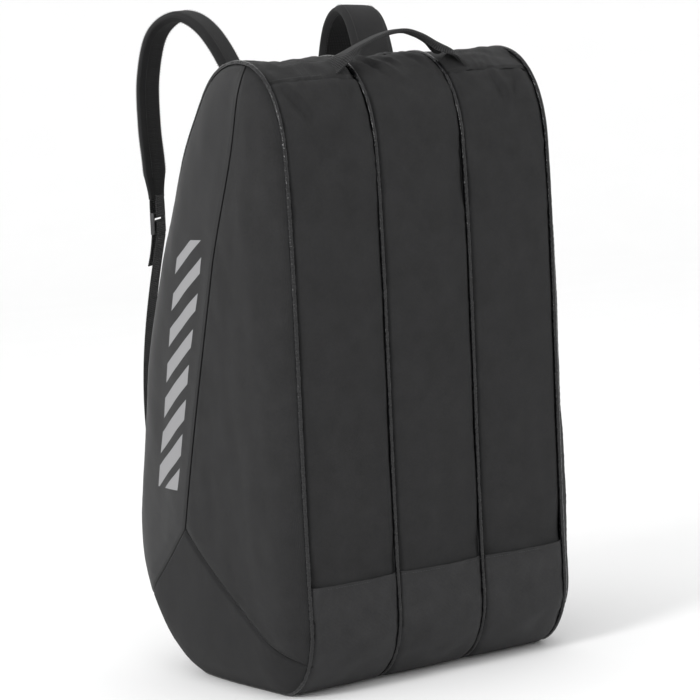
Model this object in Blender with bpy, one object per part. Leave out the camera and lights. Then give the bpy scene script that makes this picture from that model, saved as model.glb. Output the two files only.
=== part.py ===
"""Racket tournament bag: three compartments side by side, standing on the wide end.

The frame: +Z up, X across the three compartments, -Y towards the plain front, +Y towards the
back with the zips and the shoulder straps. The origin is on the flat underside of the base.
Every wall is a closed sheet that follows one outline curve, seen along X, from seam to seam.
"""
from math import cos, pi, radians, sin

import bmesh
import bpy
import numpy as np
from mathutils import Matrix, Vector

# Driving dimensions, in metres
HALF_WIDTH = 0.190          # outer seam on the front, from the middle plane
BACK_FLARE = 0.015          # how much wider the bag is at its back
DIVIDER_X = 0.0633          # inner seams
HEIGHT = 0.770
ORIGIN_Y = 0.155            # from the front seam line to the frame's origin
BASE_FRONT, BASE_BACK = 0.075, 0.235      # the flat stretch of the base
ZIP_RADIUS = 1.70
ZIP_ARC_TOP = (0.166, 0.728)
ZIP_ARC_FOOT = (0.369, 0.235)
GUARD_Z = 0.142             # top seam of the guards
TOP_SEAM_Z = 0.740          # foot seam of the outer top panels, on the front
WALL = 0.0030               # padded cloth
TAPE = 0.0016               # zip tape
SEAM_GAP = 0.0003
PIPING_RADIUS = 0.0028
EDGE = 0.0034               # from a seam line to the edge of the cloth beside it
FRONT_PILLOW, TOP_PILLOW, BACK_PILLOW = 0.008, -0.002, 0.004
SIDE_BULGE, TOP_BULGE = 0.034, 0.020      # swell of a side panel, low down and at the top
SIDE_BULGE_REACH = 0.080    # distance from the seam at which the swell is full
OUTER_ZIP_X = 0.184
TAPE_HALF = 0.014
CHAIN_SLIT = 0.0008         # half the slit between the two rows of teeth
MOUTH_TOP_Z, MOUTH_FOOT_Z = 0.575, 0.295
ZIP_TOP_Z, ZIP_FOOT_Z = 0.712, 0.245
STRAP_X = {"left": 0.0877, "right": 0.1075}           # the straps do not lie quite alike at rest
STRAP_SPLAY = {"left": radians(27), "right": radians(-3)}
STRAP_SWING = {"left": radians(-9.5), "right": radians(-16)}      # outwards, about their two ends
STRAP_REACH = {"left": 0.75, "right": 0.92}           # share of the full run from the bag
STRAP_ROOT = (0.238, 0.668)               # distance from the front, height
PAD_WIDTH, PAD_THICKNESS = 0.057, 0.013
ROOT_WIDTH = 0.042
WEBBING_WIDTH, WEBBING_THICKNESS = 0.025, 0.0016
HANDLE_HALF_SPAN = 0.084
HANDLE_AXIS = (0.030, 0.764)              # distance from the front, height

for leftover in list(bpy.data.objects):
    bpy.data.objects.remove(leftover, do_unlink=True)


def finish(name, colour, roughness, metallic=0.0):
    """One Principled material."""
    material = bpy.data.materials.new(name)
    material.use_nodes = True
    shader = material.node_tree.nodes["Principled BSDF"]
    shader.inputs["Base Color"].default_value = (*colour, 1.0)
    shader.inputs["Roughness"].default_value = roughness
    shader.inputs["Metallic"].default_value = metallic
    return material


WOVEN = finish("woven_cloth", (0.036, 0.036, 0.037), 0.80)
COATED = finish("coated_cloth", (0.045, 0.045, 0.047), 0.62)
RIPSTOP = finish("ripstop_cloth", (0.043, 0.043, 0.044), 0.75)
CORNER = finish("corner_cloth", (0.032, 0.032, 0.033), 0.80)
LINING = finish("lining_cloth", (0.050, 0.050, 0.052), 0.85)
PIPING = finish("piping_vinyl", (0.016, 0.016, 0.017), 0.28)
WEBBING = finish("webbing", (0.022, 0.022, 0.023), 0.78)
PADDING = finish("strap_cloth", (0.034, 0.034, 0.035), 0.80)
TAPE_CLOTH = finish("zip_tape", (0.020, 0.020, 0.021), 0.75)
BUCKLE = finish("moulded_buckle", (0.020, 0.020, 0.021), 0.38)
METAL = finish("zip_metal", (0.42, 0.42, 0.43), 0.30, 1.0)


# The outline --------------------------------------------------------------------------------

def bezier(start, pull, push, end, count=60):
    """Points along a cubic curve, without its last point."""
    t = np.arange(count)[:, None] / count
    corners = [np.array(p) for p in (start, pull, push, end)]
    weights = ((1 - t) ** 3, 3 * t * (1 - t) ** 2, 3 * t ** 2 * (1 - t), t ** 3)
    return sum(w * c for w, c in zip(weights, corners))


def arc_centre(start, end, radius):
    """Centre of the arc that bulges away from the front."""
    a, b = np.array(start), np.array(end)
    chord = b - a
    across = np.array((chord[1], -chord[0])) / np.linalg.norm(chord)
    rise = (radius ** 2 - (np.linalg.norm(chord) / 2) ** 2) ** 0.5
    return (a + b) / 2 + across * rise


def arc(start, end, radius, count=240):
    """Points along that arc, without its last point."""
    centre = arc_centre(start, end, radius)
    first, last = (np.arctan2(p[1] - centre[1], p[0] - centre[0]) for p in (start, end))
    turn = first + (last - first) * np.arange(count) / count
    return centre + radius * np.stack((np.cos(turn), np.sin(turn)), axis=1)


FRONT_FOOT, FRONT_HEAD, CROWN = (0.003, 0.095), (-0.010, 0.655), (0.088, HEIGHT)
HEEL = (0.348, 0.075)
STRETCHES = [
    bezier((BASE_BACK, 0), (0.18, 0), (0.13, 0), (BASE_FRONT, 0)),
    bezier((BASE_FRONT, 0), (0.042, 0), (0.004, 0.035), FRONT_FOOT),
    bezier(FRONT_FOOT, (0.003, 0.28), (-0.014, 0.50), FRONT_HEAD, 160),
    bezier(FRONT_HEAD, (-0.008, 0.725), (0.030, HEIGHT), CROWN),
    bezier(CROWN, (0.122, HEIGHT), (0.150, 0.757), ZIP_ARC_TOP),
    arc(ZIP_ARC_TOP, ZIP_ARC_FOOT, ZIP_RADIUS),
    bezier(ZIP_ARC_FOOT, (0.3785, 0.198), (0.385, 0.118), HEEL),
    bezier(HEEL, (0.321, 0.042), (0.280, 0), (BASE_BACK, 0)),
]
OUTLINE = np.concatenate(STRETCHES)
CLOSED = np.vstack((OUTLINE, OUTLINE[:1]))
STEPS = np.linalg.norm(np.diff(CLOSED, axis=0), axis=1)
ALONG = np.concatenate(([0.0], np.cumsum(STEPS)))
LENGTH = ALONG[-1]
STARTS = ALONG[np.cumsum([0] + [len(s) for s in STRETCHES])]


def outline(s):
    """Point (distance from the front, height) at a length along the outline."""
    s = s % LENGTH
    return np.array([np.interp(s, ALONG, CLOSED[:, 0]), np.interp(s, ALONG, CLOSED[:, 1])])


def outward(s):
    """Unit vector that points out of the bag there."""
    step = outline(s + 0.001) - outline(s - 0.001)
    return np.array([step[1], -step[0]]) / -np.linalg.norm(step)


def station(stretch, height):
    """Length along the outline at which one stretch reaches a height."""
    inside = np.linspace(STARTS[stretch], STARTS[stretch + 1], 800)
    heights = np.array([outline(s)[1] for s in inside])
    order = np.argsort(heights)
    return float(np.interp(height, heights[order], inside[order]))


GUARD_S = station(2, GUARD_Z)
TOP_SEAM_S = station(3, TOP_SEAM_Z)
ZIP_TOP_S, ZIP_FOOT_S = station(5, ZIP_TOP_Z), station(5, ZIP_FOOT_Z)
MOUTH_TOP_S, MOUTH_FOOT_S = station(5, MOUTH_TOP_Z), station(5, MOUTH_FOOT_Z)


def smooth(x):
    """Eased step from 0 to 1."""
    x = min(max(x, 0.0), 1.0)
    return x * x * (3 - 2 * x)


def seam_x(y, z):
    """Distance of the outer seams from the middle plane."""
    return HALF_WIDTH + BACK_FLARE * smooth((y - 0.02) / 0.20) * smooth((0.80 - z) / 0.15)


def pillow(s):
    """How far a panel swells between its two seams."""
    marks = (0, STARTS[1], GUARD_S, TOP_SEAM_S, STARTS[4], STARTS[5], STARTS[6], LENGTH)
    swells = (0, 0, FRONT_PILLOW, 0.8 * FRONT_PILLOW, TOP_PILLOW, BACK_PILLOW, BACK_PILLOW, 0)
    return float(np.interp(s % LENGTH, marks, swells))


def seams(compartment, s):
    """X of the two seams beside a compartment: 0 left, 1 middle, 2 right."""
    outer = seam_x(*outline(s))
    return [(-outer, -DIVIDER_X), (-DIVIDER_X, DIVIDER_X), (DIVIDER_X, outer)][compartment]


def swollen(compartment, s):
    """X limits of a panel's swell, which stops at the zip tape where an outer zip runs."""
    low, high = seams(compartment, s)
    y, z = outline(s)
    beside_zip = smooth((y - 0.10) / 0.06) * smooth((z - 0.04) / 0.14)
    narrowing = (high if compartment == 2 else -low) - OUTER_ZIP_X + TAPE_HALF
    inset = narrowing * beside_zip
    return low + inset * (compartment == 0), high - inset * (compartment == 2)


def skin(compartment, s, x, lift=0.0):
    """Point of the bag's outer surface, lifted along the outward direction."""
    low, high = swollen(compartment, s)
    across = min(max((x - low) / (high - low), 0), 1)
    swell = pillow(s) * (1 - abs(2 * across - 1) ** 2.4)
    y, z = outline(s) + outward(s) * (swell + lift)
    return Vector((x, y - ORIGIN_Y, z))


# Solids ---------------------------------------------------------------------------------------

def solid(name, points, faces, material, sharp=40):
    """A closed body from points and faces, with its faces pointing out."""
    mesh = bpy.data.meshes.new(name)
    mesh.from_pydata([tuple(p) for p in points], [], faces)
    body = bmesh.new()
    body.from_mesh(mesh)
    bmesh.ops.recalc_face_normals(body, faces=body.faces)
    body.to_mesh(mesh)
    body.free()
    mesh.shade_smooth()
    mesh.set_sharp_from_angle(angle=radians(sharp))
    mesh.materials.append(material)
    item = bpy.data.objects.new(name, mesh)
    bpy.context.scene.collection.objects.link(item)
    return item


def walled(name, outer, inner, faces, material):
    """A sheet with thickness: outer and inner points, and a rim round each free edge."""
    count = len(outer)
    directed = {(face[i], face[(i + 1) % len(face)]) for face in faces for i in range(len(face))}
    rims = [(b, a, a + count, b + count) for a, b in sorted(directed) if (b, a) not in directed]
    backs = [tuple(i + count for i in reversed(face)) for face in faces]
    used = sorted({i for face in faces for i in face})
    places = {old: new for new, old in enumerate(used + [i + count for i in used])}
    points = [(list(outer) + list(inner))[i] for i in places]
    every = [tuple(places[i] for i in face) for face in list(faces) + backs + rims]
    return solid(name, points, every, material)


def panel(name, compartment, rows, columns, material, thickness=lambda x: WALL, skip=None):
    """A wall over lengths `rows` of the outline; columns(s) gives its X positions."""
    width = len(columns(rows[0]))
    outer, inner, faces = [], [], []
    for s in rows:
        for x in columns(s):
            outer.append(skin(compartment, s, x))
            inner.append(skin(compartment, s, x, -thickness(x)))
    for i in range(len(rows) - 1):
        for j in range(width - 1):
            middle = (rows[i] + rows[i + 1]) / 2, (columns(rows[i])[j] + columns(rows[i])[j + 1]) / 2
            if skip is None or not skip(*middle):
                first = i * width + j
                faces.append((first, first + 1, first + width + 1, first + width))
    return walled(name, outer, inner, faces, material)


def spaced(*marks):
    """Lengths from (start, count, next start, count, ... end)."""
    parts = [np.linspace(marks[i], marks[i + 2], marks[i + 1], endpoint=False)
             for i in range(0, len(marks) - 1, 2)]
    return list(np.concatenate(parts)) + [marks[-1]]


def between(compartment, inner_marks=()):
    """Columns from seam to seam, with extra X positions between them."""
    def ends_at(s):
        low, high = seams(compartment, s)
        return [low + EDGE, *inner_marks, high - EDGE]

    counts = [max(1, round((b - a) / 0.028)) for a, b in zip(ends_at(0), ends_at(0)[1:])]

    def columns(s):
        ends = ends_at(s)
        marks = [ends[0]]
        for count, end in zip(counts, ends[1:]):
            marks += [count, end]
        return spaced(*marks)
    return columns


def sweep(name, path, ups, widths, thicknesses, side, material):
    """A flat band along a path: side is its width direction, ups its thickness directions."""
    points, faces = [], []
    ring = [(-1, -0.55), (-0.93, -1), (0.93, -1), (1, -0.55), (1, 0.55), (0.93, 1), (-0.93, 1), (-1, 0.55)]
    for point, up, width, thickness in zip(path, ups, widths, thicknesses):
        for across, high in ring:
            points.append(point + side * (across * width / 2) + up * (high * thickness / 2))
    count = len(ring)
    for i in range(len(path) - 1):
        for j in range(count):
            k = (j + 1) % count
            faces.append((i * count + j, i * count + k, (i + 1) * count + k, (i + 1) * count + j))
    faces.append(tuple(range(count)))
    faces.append(tuple((len(path) - 1) * count + j for j in reversed(range(count))))
    return solid(name, points, faces, material)


def strip(name, rows, material):
    """A band from rows of (points across it, thickness direction, thickness)."""
    width = len(rows[0][0])
    outer = [p + out * (thick / 2) for across, out, thick in rows for p in across]
    inner = [p - out * (thick / 2) for across, out, thick in rows for p in across]
    faces = [(i * width + j, i * width + j + 1, (i + 1) * width + j + 1, (i + 1) * width + j)
             for i in range(len(rows) - 1) for j in range(width - 1)]
    return walled(name, outer, inner, faces, material)


def on_skin(compartment, s, x, width, thick):
    """A strip's row that lies on the bag's surface."""
    lift = thick / 2 + 0.0006
    across = [skin(compartment, s, x + width * (k / 4 - 0.5), lift) for k in range(5)]
    return across, Vector((0, *outward(s))), thick


def straight(centre, side, width, out, thick):
    """A strip's row with a straight width."""
    return [centre + side * (width * (k / 4 - 0.5)) for k in range(5)], out, thick


def assembly(name, blocks, place, material):
    """Boxes in a local frame that touch or overlap, joined into one body and placed."""
    cuts = [sorted({corner[axis] for box in blocks for corner in box}) for axis in range(3)]
    middles = [[(a + b) / 2 for a, b in zip(cut, cut[1:])] for cut in cuts]

    def filled(cell):
        if any(n < 0 or n >= len(middles[axis]) for axis, n in enumerate(cell)):
            return False
        centre = [middles[axis][n] for axis, n in enumerate(cell)]
        return any(all(low[a] < centre[a] < high[a] for a in range(3)) for low, high in blocks)

    corners, faces = {}, []
    for cell in np.ndindex(*(len(m) for m in middles)):
        for axis, step in ((a, d) for a in range(3) for d in (0, 1)):
            beyond = list(cell)
            beyond[axis] += 2 * step - 1
            if not filled(cell) or filled(beyond):
                continue
            ring = []
            for u, v in ((0, 0), (1, 0), (1, 1), (0, 1)):
                corner = list(cell)
                corner[axis] += step
                corner[(axis + 1) % 3] += u
                corner[(axis + 2) % 3] += v
                ring.append(corners.setdefault(tuple(corner), len(corners)))
            faces.append(tuple(ring))
    points = [place @ Vector([cuts[axis][n] for axis, n in enumerate(corner)]) for corner in corners]
    return solid(name, points, faces, material)


# The front, the base guards and the top -------------------------------------------------------

NAMES = ("left", "middle", "right")


def zip_x(compartment):
    """X of a compartment's zip."""
    return (-OUTER_ZIP_X, 0.0, OUTER_ZIP_X)[compartment]


def slot_marks(compartment):
    """X positions at the sides of the slot that the zip tape fills."""
    x = zip_x(compartment)
    return [(x + TAPE_HALF,), (x - TAPE_HALF, x + TAPE_HALF), (x - TAPE_HALF,)][compartment]


def in_slot(compartment, x):
    """Whether X lies in the slot, or outside it on an outer compartment."""
    offset = x - zip_x(compartment)
    return (offset < TAPE_HALF, abs(offset) < TAPE_HALF, offset > -TAPE_HALF)[compartment]


for i, side in enumerate(NAMES):
    # the middle width of the front runs on over the brow to the crown
    front_rows = [GUARD_S + SEAM_GAP, 8, TOP_SEAM_S - SEAM_GAP]
    top_rows = [STARTS[4] + SEAM_GAP, 4, ZIP_TOP_S, 4, MOUTH_TOP_S - SEAM_GAP]
    if i == 1:
        front_rows += [4, STARTS[4] - SEAM_GAP]
    else:
        top_rows = [TOP_SEAM_S + SEAM_GAP, 4, STARTS[4], *top_rows[1:]]
    panel(f"front_panel_{side}", i, spaced(*front_rows), between(i), WOVEN)
    panel(f"base_guard_{side}", i, spaced(SEAM_GAP, 2, STARTS[1], 6, STARTS[2], 2, GUARD_S - SEAM_GAP),
          between(i), COATED)
    panel(f"top_panel_{side}", i, spaced(*top_rows), between(i, slot_marks(i)), RIPSTOP,
          skip=lambda s, x, i=i: s > ZIP_TOP_S and in_slot(i, x))
    panel(f"lower_back_panel_{side}", i,
          spaced(MOUTH_FOOT_S + SEAM_GAP, 2, ZIP_FOOT_S, 5, STARTS[7], 5, LENGTH - SEAM_GAP),
          between(i, slot_marks(i)), WOVEN, skip=lambda s, x, i=i: s < ZIP_FOOT_S and in_slot(i, x))


# The zips: tape halves, fixed above, beside and below the mouth --------------------------------

def tape(name, compartment, rows, near, far):
    """A strip of zip tape between two X positions."""
    panel(name, compartment, rows, lambda s: [near(s), far(s)], TAPE_CLOTH, lambda x: TAPE)


def tape_pair(name, start, end, joined_top):
    """Both tape halves of the middle zip, joined past the end of the slit."""
    stop = 0.008
    rows = spaced(start, 1, start + stop, 4, end) if joined_top else spaced(start, 2, end - stop, 1, end)
    edges = [-TAPE_HALF + SEAM_GAP, -CHAIN_SLIT, CHAIN_SLIT, TAPE_HALF - SEAM_GAP]
    joined = (lambda s: s < start + stop) if joined_top else (lambda s: s > end - stop)
    panel(name, 1, rows, lambda s: edges, TAPE_CLOTH, lambda x: TAPE,
          skip=lambda s, x: abs(x) < CHAIN_SLIT and not joined(s))


for i, sign in ((0, -1), (2, 1)):
    side = NAMES[i]
    tape(f"zip_edge_tape_{side}", i, spaced(ZIP_TOP_S + SEAM_GAP, 10, ZIP_FOOT_S - SEAM_GAP),
         lambda s, k=sign: k * (OUTER_ZIP_X + CHAIN_SLIT),
         lambda s, k=sign: k * (seam_x(*outline(s)) - EDGE))
    for end, start, stop in (("top", ZIP_TOP_S, MOUTH_TOP_S), ("foot", MOUTH_FOOT_S, ZIP_FOOT_S)):
        tape(f"zip_{end}_tape_{side}", i, spaced(start + SEAM_GAP, 4, stop - SEAM_GAP),
             lambda s, k=sign: k * (OUTER_ZIP_X - TAPE_HALF + SEAM_GAP),
             lambda s, k=sign: k * (OUTER_ZIP_X - CHAIN_SLIT))
tape_pair("zip_top_tape_middle", ZIP_TOP_S + SEAM_GAP, MOUTH_TOP_S - SEAM_GAP, True)
tape_pair("zip_foot_tape_middle", MOUTH_FOOT_S + SEAM_GAP, ZIP_FOOT_S - SEAM_GAP, False)


# The mouth flaps, which turn outwards about the inner seams -------------------------------------



def flap(name, compartment, seam, edge):
    """A flap from beside a seam to its zip, whose last stretch is thin zip tape."""
    toward = 1 if edge > seam else -1
    tape_start = edge - toward * (TAPE_HALF - CHAIN_SLIT)
    stops = list(np.linspace(seam + toward * (EDGE + 0.001), tape_start - toward * 0.0005, 5))
    stops += [tape_start + toward * 0.0005, edge]
    panel(name, compartment, spaced(MOUTH_TOP_S + SEAM_GAP, 8, MOUTH_FOOT_S - SEAM_GAP),
          lambda s: stops, WOVEN, lambda x: WALL if (tape_start - x) * toward > 0 else TAPE)


flap("mouth_flap_left", 0, -DIVIDER_X, -OUTER_ZIP_X + CHAIN_SLIT)
flap("mouth_flap_middle_left", 1, -DIVIDER_X, -CHAIN_SLIT)
flap("mouth_flap_middle_right", 1, DIVIDER_X, CHAIN_SLIT)
flap("mouth_flap_right", 2, DIVIDER_X, OUTER_ZIP_X - CHAIN_SLIT)


# The piping, a thin loop in each long seam ------------------------------------------------------

def sink(s):
    """Depth of the piping's centre line, which grows near the base to keep it off the ground."""
    return PIPING_RADIUS + 0.0004 - 0.0020 * smooth(outline(s)[1] / 0.10)


def piping(name, seam):
    """A closed loop of cord at seam(s), sunk to stay above the base."""
    rows = spaced(0, 3, STARTS[1], 7, STARTS[2], 8, STARTS[3], 7, STARTS[4], 4, STARTS[5],
                  9, STARTS[6], 6, STARTS[7], 4, LENGTH)[:-1]
    sides = 5
    points, faces = [], []
    for s in rows:
        y, z = outline(s) - outward(s) * sink(s)
        across, out = Vector((1, 0, 0)), Vector((0, *outward(s)))
        for k in range(sides):
            turn = 2 * pi * k / sides
            rim = across * cos(turn) + out * sin(turn)
            points.append(Vector((seam(s), y - ORIGIN_Y, z)) + rim * PIPING_RADIUS)
    for a in range(len(rows)):
        b = (a + 1) % len(rows)
        for k in range(sides):
            m = (k + 1) % sides
            faces.append((a * sides + k, a * sides + m, b * sides + m, b * sides + k))
    solid(name, points, faces, PIPING)


piping("piping_outer_left", lambda s: -seam_x(*outline(s)))
piping("piping_inner_left", lambda s: -DIVIDER_X)
piping("piping_inner_right", lambda s: DIVIDER_X)
piping("piping_outer_right", lambda s: seam_x(*outline(s)))


# The side panels, each sewn from three pieces, and the dividers ---------------------------------

PEAK = np.array((0.217, 0.196))
BAND_HEAD, NEAR_END, FAR_END = np.array((0.066, 0.765)), np.array((0.014, 0.044)), np.array((0.355, 0.082))
BAND_SEAM = bezier(BAND_HEAD, (0.055, 0.690), (0.120, 0.520), PEAK, 12)
NEAR_SEAM = bezier(PEAK, (0.155, 0.140), (0.085, 0.090), NEAR_END, 7)
FAR_SEAM = bezier(PEAK, (0.250, 0.165), (0.300, 0.115), FAR_END, 5)


def inset(s, depth):
    """Outline point moved into the bag."""
    return outline(s) - outward(s) * depth


def nearest(point, depth):
    """Length along the outline whose inset point lies nearest."""
    lengths = np.linspace(0, LENGTH, 2400, endpoint=False)
    gaps = [np.linalg.norm(inset(s, depth) - point) for s in lengths]
    return float(lengths[int(np.argmin(gaps))])


BAND_S, NEAR_S, FAR_S = (nearest(end, EDGE) for end in (BAND_HEAD, NEAR_END, FAR_END))


def beside(points, offset):
    """The inner points of a seam, moved to its left by an offset."""
    run = np.gradient(points, axis=0)
    left = np.stack((-run[:, 1], run[:, 0]), axis=1) / np.linalg.norm(run, axis=1)[:, None]
    return list((points + left * offset)[1:])


def rim(start, end, count):
    """Outline points from one length to a later one, inside the piping."""
    return [inset(s, sink(s) + PIPING_RADIUS + 0.0005)
            for s in np.linspace(start + 0.0004, end - 0.0004, count)]


def bulge_x(y, z):
    """Distance of a side panel's outer face from the middle plane."""
    depth = np.min(np.hypot(OUTLINE[:, 0] - y, OUTLINE[:, 1] - z))
    rise = 1 - (1 - min(depth / SIDE_BULGE_REACH, 1)) ** 3
    swell = SIDE_BULGE + (TOP_BULGE - SIDE_BULGE) * smooth((z - 0.52) / 0.20)
    return seam_x(y, z) + swell * rise


def flat_wall(name, boundary, outer_x, inner_x, material, cell=0.062):
    """A wall that stands across X, cut into a grid and then given its swell."""
    body = bmesh.new()
    body.faces.new([body.verts.new((0, y, z)) for y, z in boundary])
    for axis in (1, 2):
        for step in range(int(1 / cell)):
            plane = Vector((0, 0, 0))
            plane[axis] = (step - 1.5) * cell
            normal = Vector((0, 0, 0))
            normal[axis] = 1
            bmesh.ops.bisect_plane(body, geom=body.faces[:] + body.edges[:] + body.verts[:],
                                   plane_co=plane, plane_no=normal)
    bmesh.ops.triangulate(body, faces=body.faces)
    body.verts.index_update()
    flat = [v.co.copy() for v in body.verts]
    faces = [tuple(v.index for v in f.verts) for f in body.faces]
    body.free()
    outer = [(outer_x(p.y, p.z), p.y - ORIGIN_Y, p.z) for p in flat]
    inner = [(inner_x(p.y, p.z), p.y - ORIGIN_Y, p.z) for p in flat]
    walled(name, outer, inner, faces, material)


MAIN_EDGE = ([PEAK + (-0.0010, 0.0004)] + beside(NEAR_SEAM, -SEAM_GAP)
             + rim(NEAR_S, BAND_S, 20) + beside(BAND_SEAM, -SEAM_GAP))
BAND_EDGE = ([PEAK + (0.0006, 0.0010)] + beside(BAND_SEAM, SEAM_GAP)[::-1]
             + rim(BAND_S, FAR_S, 26) + beside(FAR_SEAM, SEAM_GAP)[::-1])
CORNER_EDGE = ([PEAK + (0.0, -0.0010)] + beside(FAR_SEAM, -SEAM_GAP)
               + rim(FAR_S, LENGTH + NEAR_S, 18) + beside(NEAR_SEAM, SEAM_GAP)[::-1])
for side, sign in (("left", -1), ("right", 1)):
    for part, edge, cloth in (("main", MAIN_EDGE, WOVEN), ("band", BAND_EDGE, COATED),
                              ("corner", CORNER_EDGE, CORNER)):
        flat_wall(f"side_{part}_{side}", edge, lambda y, z, k=sign: k * bulge_x(y, z),
                  lambda y, z, k=sign: k * (bulge_x(y, z) - WALL), cloth)
    ring = [inset(s, 0.0075) for s in np.linspace(0, LENGTH, 44, endpoint=False)]
    flat_wall(f"divider_{side}", ring, lambda y, z, k=sign: k * (DIVIDER_X + 0.001),
              lambda y, z, k=sign: k * (DIVIDER_X - 0.001), LINING, 0.4)


# The zip sliders and their pullers --------------------------------------------------------------

SLIDER_S = ZIP_TOP_S + 0.022
PLATE_GAP = 0.0004
BAIL_HEIGHT = 0.0042        # of the puller's bar above the tape


def frame_at(compartment, s):
    """Matrix whose X runs across, Y down the zip and Z outwards, on the tape's surface."""
    x = zip_x(compartment)
    out = Vector((0, *outward(s)))
    down = out.cross(Vector((1, 0, 0)))
    point = skin(compartment, s, x)
    return Matrix.Translation(point) @ Matrix((Vector((1, 0, 0)), down, out)).transposed().to_4x4()


for i, side in enumerate(NAMES):
    place = frame_at(i, SLIDER_S)
    top = PLATE_GAP + 0.0013
    assembly(f"zip_slider_{side}", [
        ((-0.0048, -0.0060, PLATE_GAP), (0.0048, 0.0060, top)),
        ((-0.0048, -0.0060, -TAPE - top), (0.0048, 0.0060, -TAPE - PLATE_GAP)),
        ((-0.0004, -0.0050, -TAPE - top + 0.0005), (0.0004, 0.0010, top - 0.0005)),
        ((-0.0010, -0.0034, top - 0.0005), (0.0010, -0.0020, 0.0064)),
        ((-0.0010, 0.0020, top - 0.0005), (0.0010, 0.0034, 0.0064)),
        ((-0.0010, -0.0034, 0.0054), (0.0010, 0.0034, 0.0064)),
    ], place, METAL)
    bar = BAIL_HEIGHT - 0.0006
    assembly(f"zip_puller_{side}", [
        ((-0.0034, -0.0006, bar), (0.0034, 0.0006, bar + 0.0012)),
        ((-0.0034, -0.0006, bar), (-0.0015, 0.0100, bar + 0.0012)),
        ((0.0015, -0.0006, bar), (0.0034, 0.0100, bar + 0.0012)),
        ((-0.0034, 0.0080, bar), (0.0034, 0.0160, bar + 0.0012)),
        ((-0.0042, 0.0150, bar - 0.0006), (0.0042, 0.0420, bar + 0.0018)),
    ], place, METAL)


# The grab handle: webbing, sewn flat at its ends and folded narrow between ----------------------

def hanging(points, count):
    """Smooth run of points through hand-chosen ones."""
    knots = [2 * points[0] - points[1]] + list(points) + [2 * points[-1] - points[-2]]
    run = []
    for step in range(count):
        t = step / (count - 1) * (len(points) - 1)
        k = min(int(t), len(points) - 2)
        a, b, c, d = knots[k:k + 4]
        u = t - k
        run.append(0.5 * (2 * b + (c - a) * u + (2 * a - 5 * b + 4 * c - d) * u ** 2
                          + (3 * b - a - 3 * c + d) * u ** 3))
    return run


ACROSS = Vector((0, 1, 0))
axis_y, axis_z = HANDLE_AXIS[0] - ORIGIN_Y, HANDLE_AXIS[1]
HANDLE_KNOTS = [(-HANDLE_HALF_SPAN, 0.003), (-0.073, 0.009), (-0.047, 0.019), (-0.015, 0.029),
                (0.014, 0.033), (0.037, 0.027), (0.057, 0.015), (0.074, 0.007), (HANDLE_HALF_SPAN, 0.003)]
HANDLE_PATH = hanging([Vector((x, axis_y + rise * 0.2, axis_z + rise)) for x, rise in HANDLE_KNOTS], 19)
ups = []
for k, point in enumerate(HANDLE_PATH):
    run = HANDLE_PATH[min(k + 1, 18)] - HANDLE_PATH[max(k - 1, 0)]
    ups.append(ACROSS.cross(run).normalized() * -1)
ups[0], ups[-1] = Vector((-1, 0, 0)), Vector((1, 0, 0))
narrow = [0.008 + 0.013 * smooth(min(k, 18 - k) / 4) for k in range(19)]
sweep("grab_handle", HANDLE_PATH, ups, narrow, [0.0034] * 19, ACROSS, WEBBING)

on_brow = np.linspace(STARTS[3], STARTS[4], 200)
SEWN_S = float(np.interp(HANDLE_AXIS[0], [outline(s)[0] for s in on_brow], on_brow))


def sewn_flat(compartment, x, width, thick):
    """A strip's row that lies on the top panel, with its width down the outline."""
    lift = thick / 2 + 0.0006
    across = [skin(compartment, SEWN_S + width * (k / 4 - 0.5), x, lift) for k in range(5)]
    return across, Vector((0, *outward(SEWN_S))), thick


for side, i, sign in (("left", 0, -1), ("right", 2, 1)):
    x = sign * HANDLE_HALF_SPAN
    rows = [sewn_flat(i, x + sign * past, 0.034, 0.0022) for past in (0.042, 0.030, 0.018)]
    out = Vector((0, *outward(SEWN_S)))
    slope = Vector((1, 0, 0)).cross(out) * -1
    lifted = skin(i, SEWN_S, x + sign * 0.006, 0.0052)
    rows += [straight(lifted, slope, 0.020, (out + Vector((sign * 0.6, 0, 0))).normalized(), 0.0026),
             straight(Vector((x, axis_y, axis_z - 0.0015)), ACROSS, 0.010, Vector((sign, 0, 0)), 0.0034)]
    strip(f"handle_anchor_{side}", rows, WEBBING)


# The shoulder straps ---------------------------------------------------------------------------

LOCK_TOP, LOCK_FOOT = (0.191, 0.588), (0.193, 0.560)   # run from the strap's root, height
TAB_TOP = (0.153, 0.128)    # end of the lower tab: distance behind the strap's root, height
PAD_KNOTS = [(0.000, 0.668), (0.004, 0.700), (0.024, 0.762), (0.064, 0.816), (0.111, 0.836),
             (0.158, 0.816), (0.183, 0.762), (0.190, 0.700), (0.189, 0.652), (0.190, 0.606)]
WEB_BOW = 0.027             # how far the lower webbing bows out between the lock and the tab


def strap_frame(side, sign):
    """Matrix of a strap's own plane: X across it, Y out from the bag, Z up."""
    turn = Matrix.Rotation(STRAP_SPLAY[side] * -sign, 4, "Z")
    return Matrix.Translation((sign * STRAP_X[side], STRAP_ROOT[0] - ORIGIN_Y, 0)) @ turn


def strap_foot(side, frame):
    """Where a strap's lower end is sewn to its tab."""
    return frame @ Vector((0, TAB_TOP[0] / cos(STRAP_SPLAY[side]), TAB_TOP[1]))


def swung(point, direction, angle):
    """Matrix of a turn about a line."""
    turn = Matrix.Rotation(angle, 4, direction)
    return Matrix.Translation(point) @ turn @ Matrix.Translation(-point)


def strap_point(side, frame, run, high):
    """Point of a strap's plane, with the run scaled by the strap's reach."""
    return frame @ Vector((0, run * STRAP_REACH[side], high))


def in_plane(side, frame, knots, count):
    """Smooth run of points in a strap's plane."""
    return hanging([strap_point(side, frame, run, high) for run, high in knots], count)


def facing(path, side):
    """Thickness directions along a path."""
    last = len(path) - 1
    runs = [path[min(k + 1, last)] - path[max(k - 1, 0)] for k in range(len(path))]
    return [side.cross(run).normalized() for run in runs]


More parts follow.
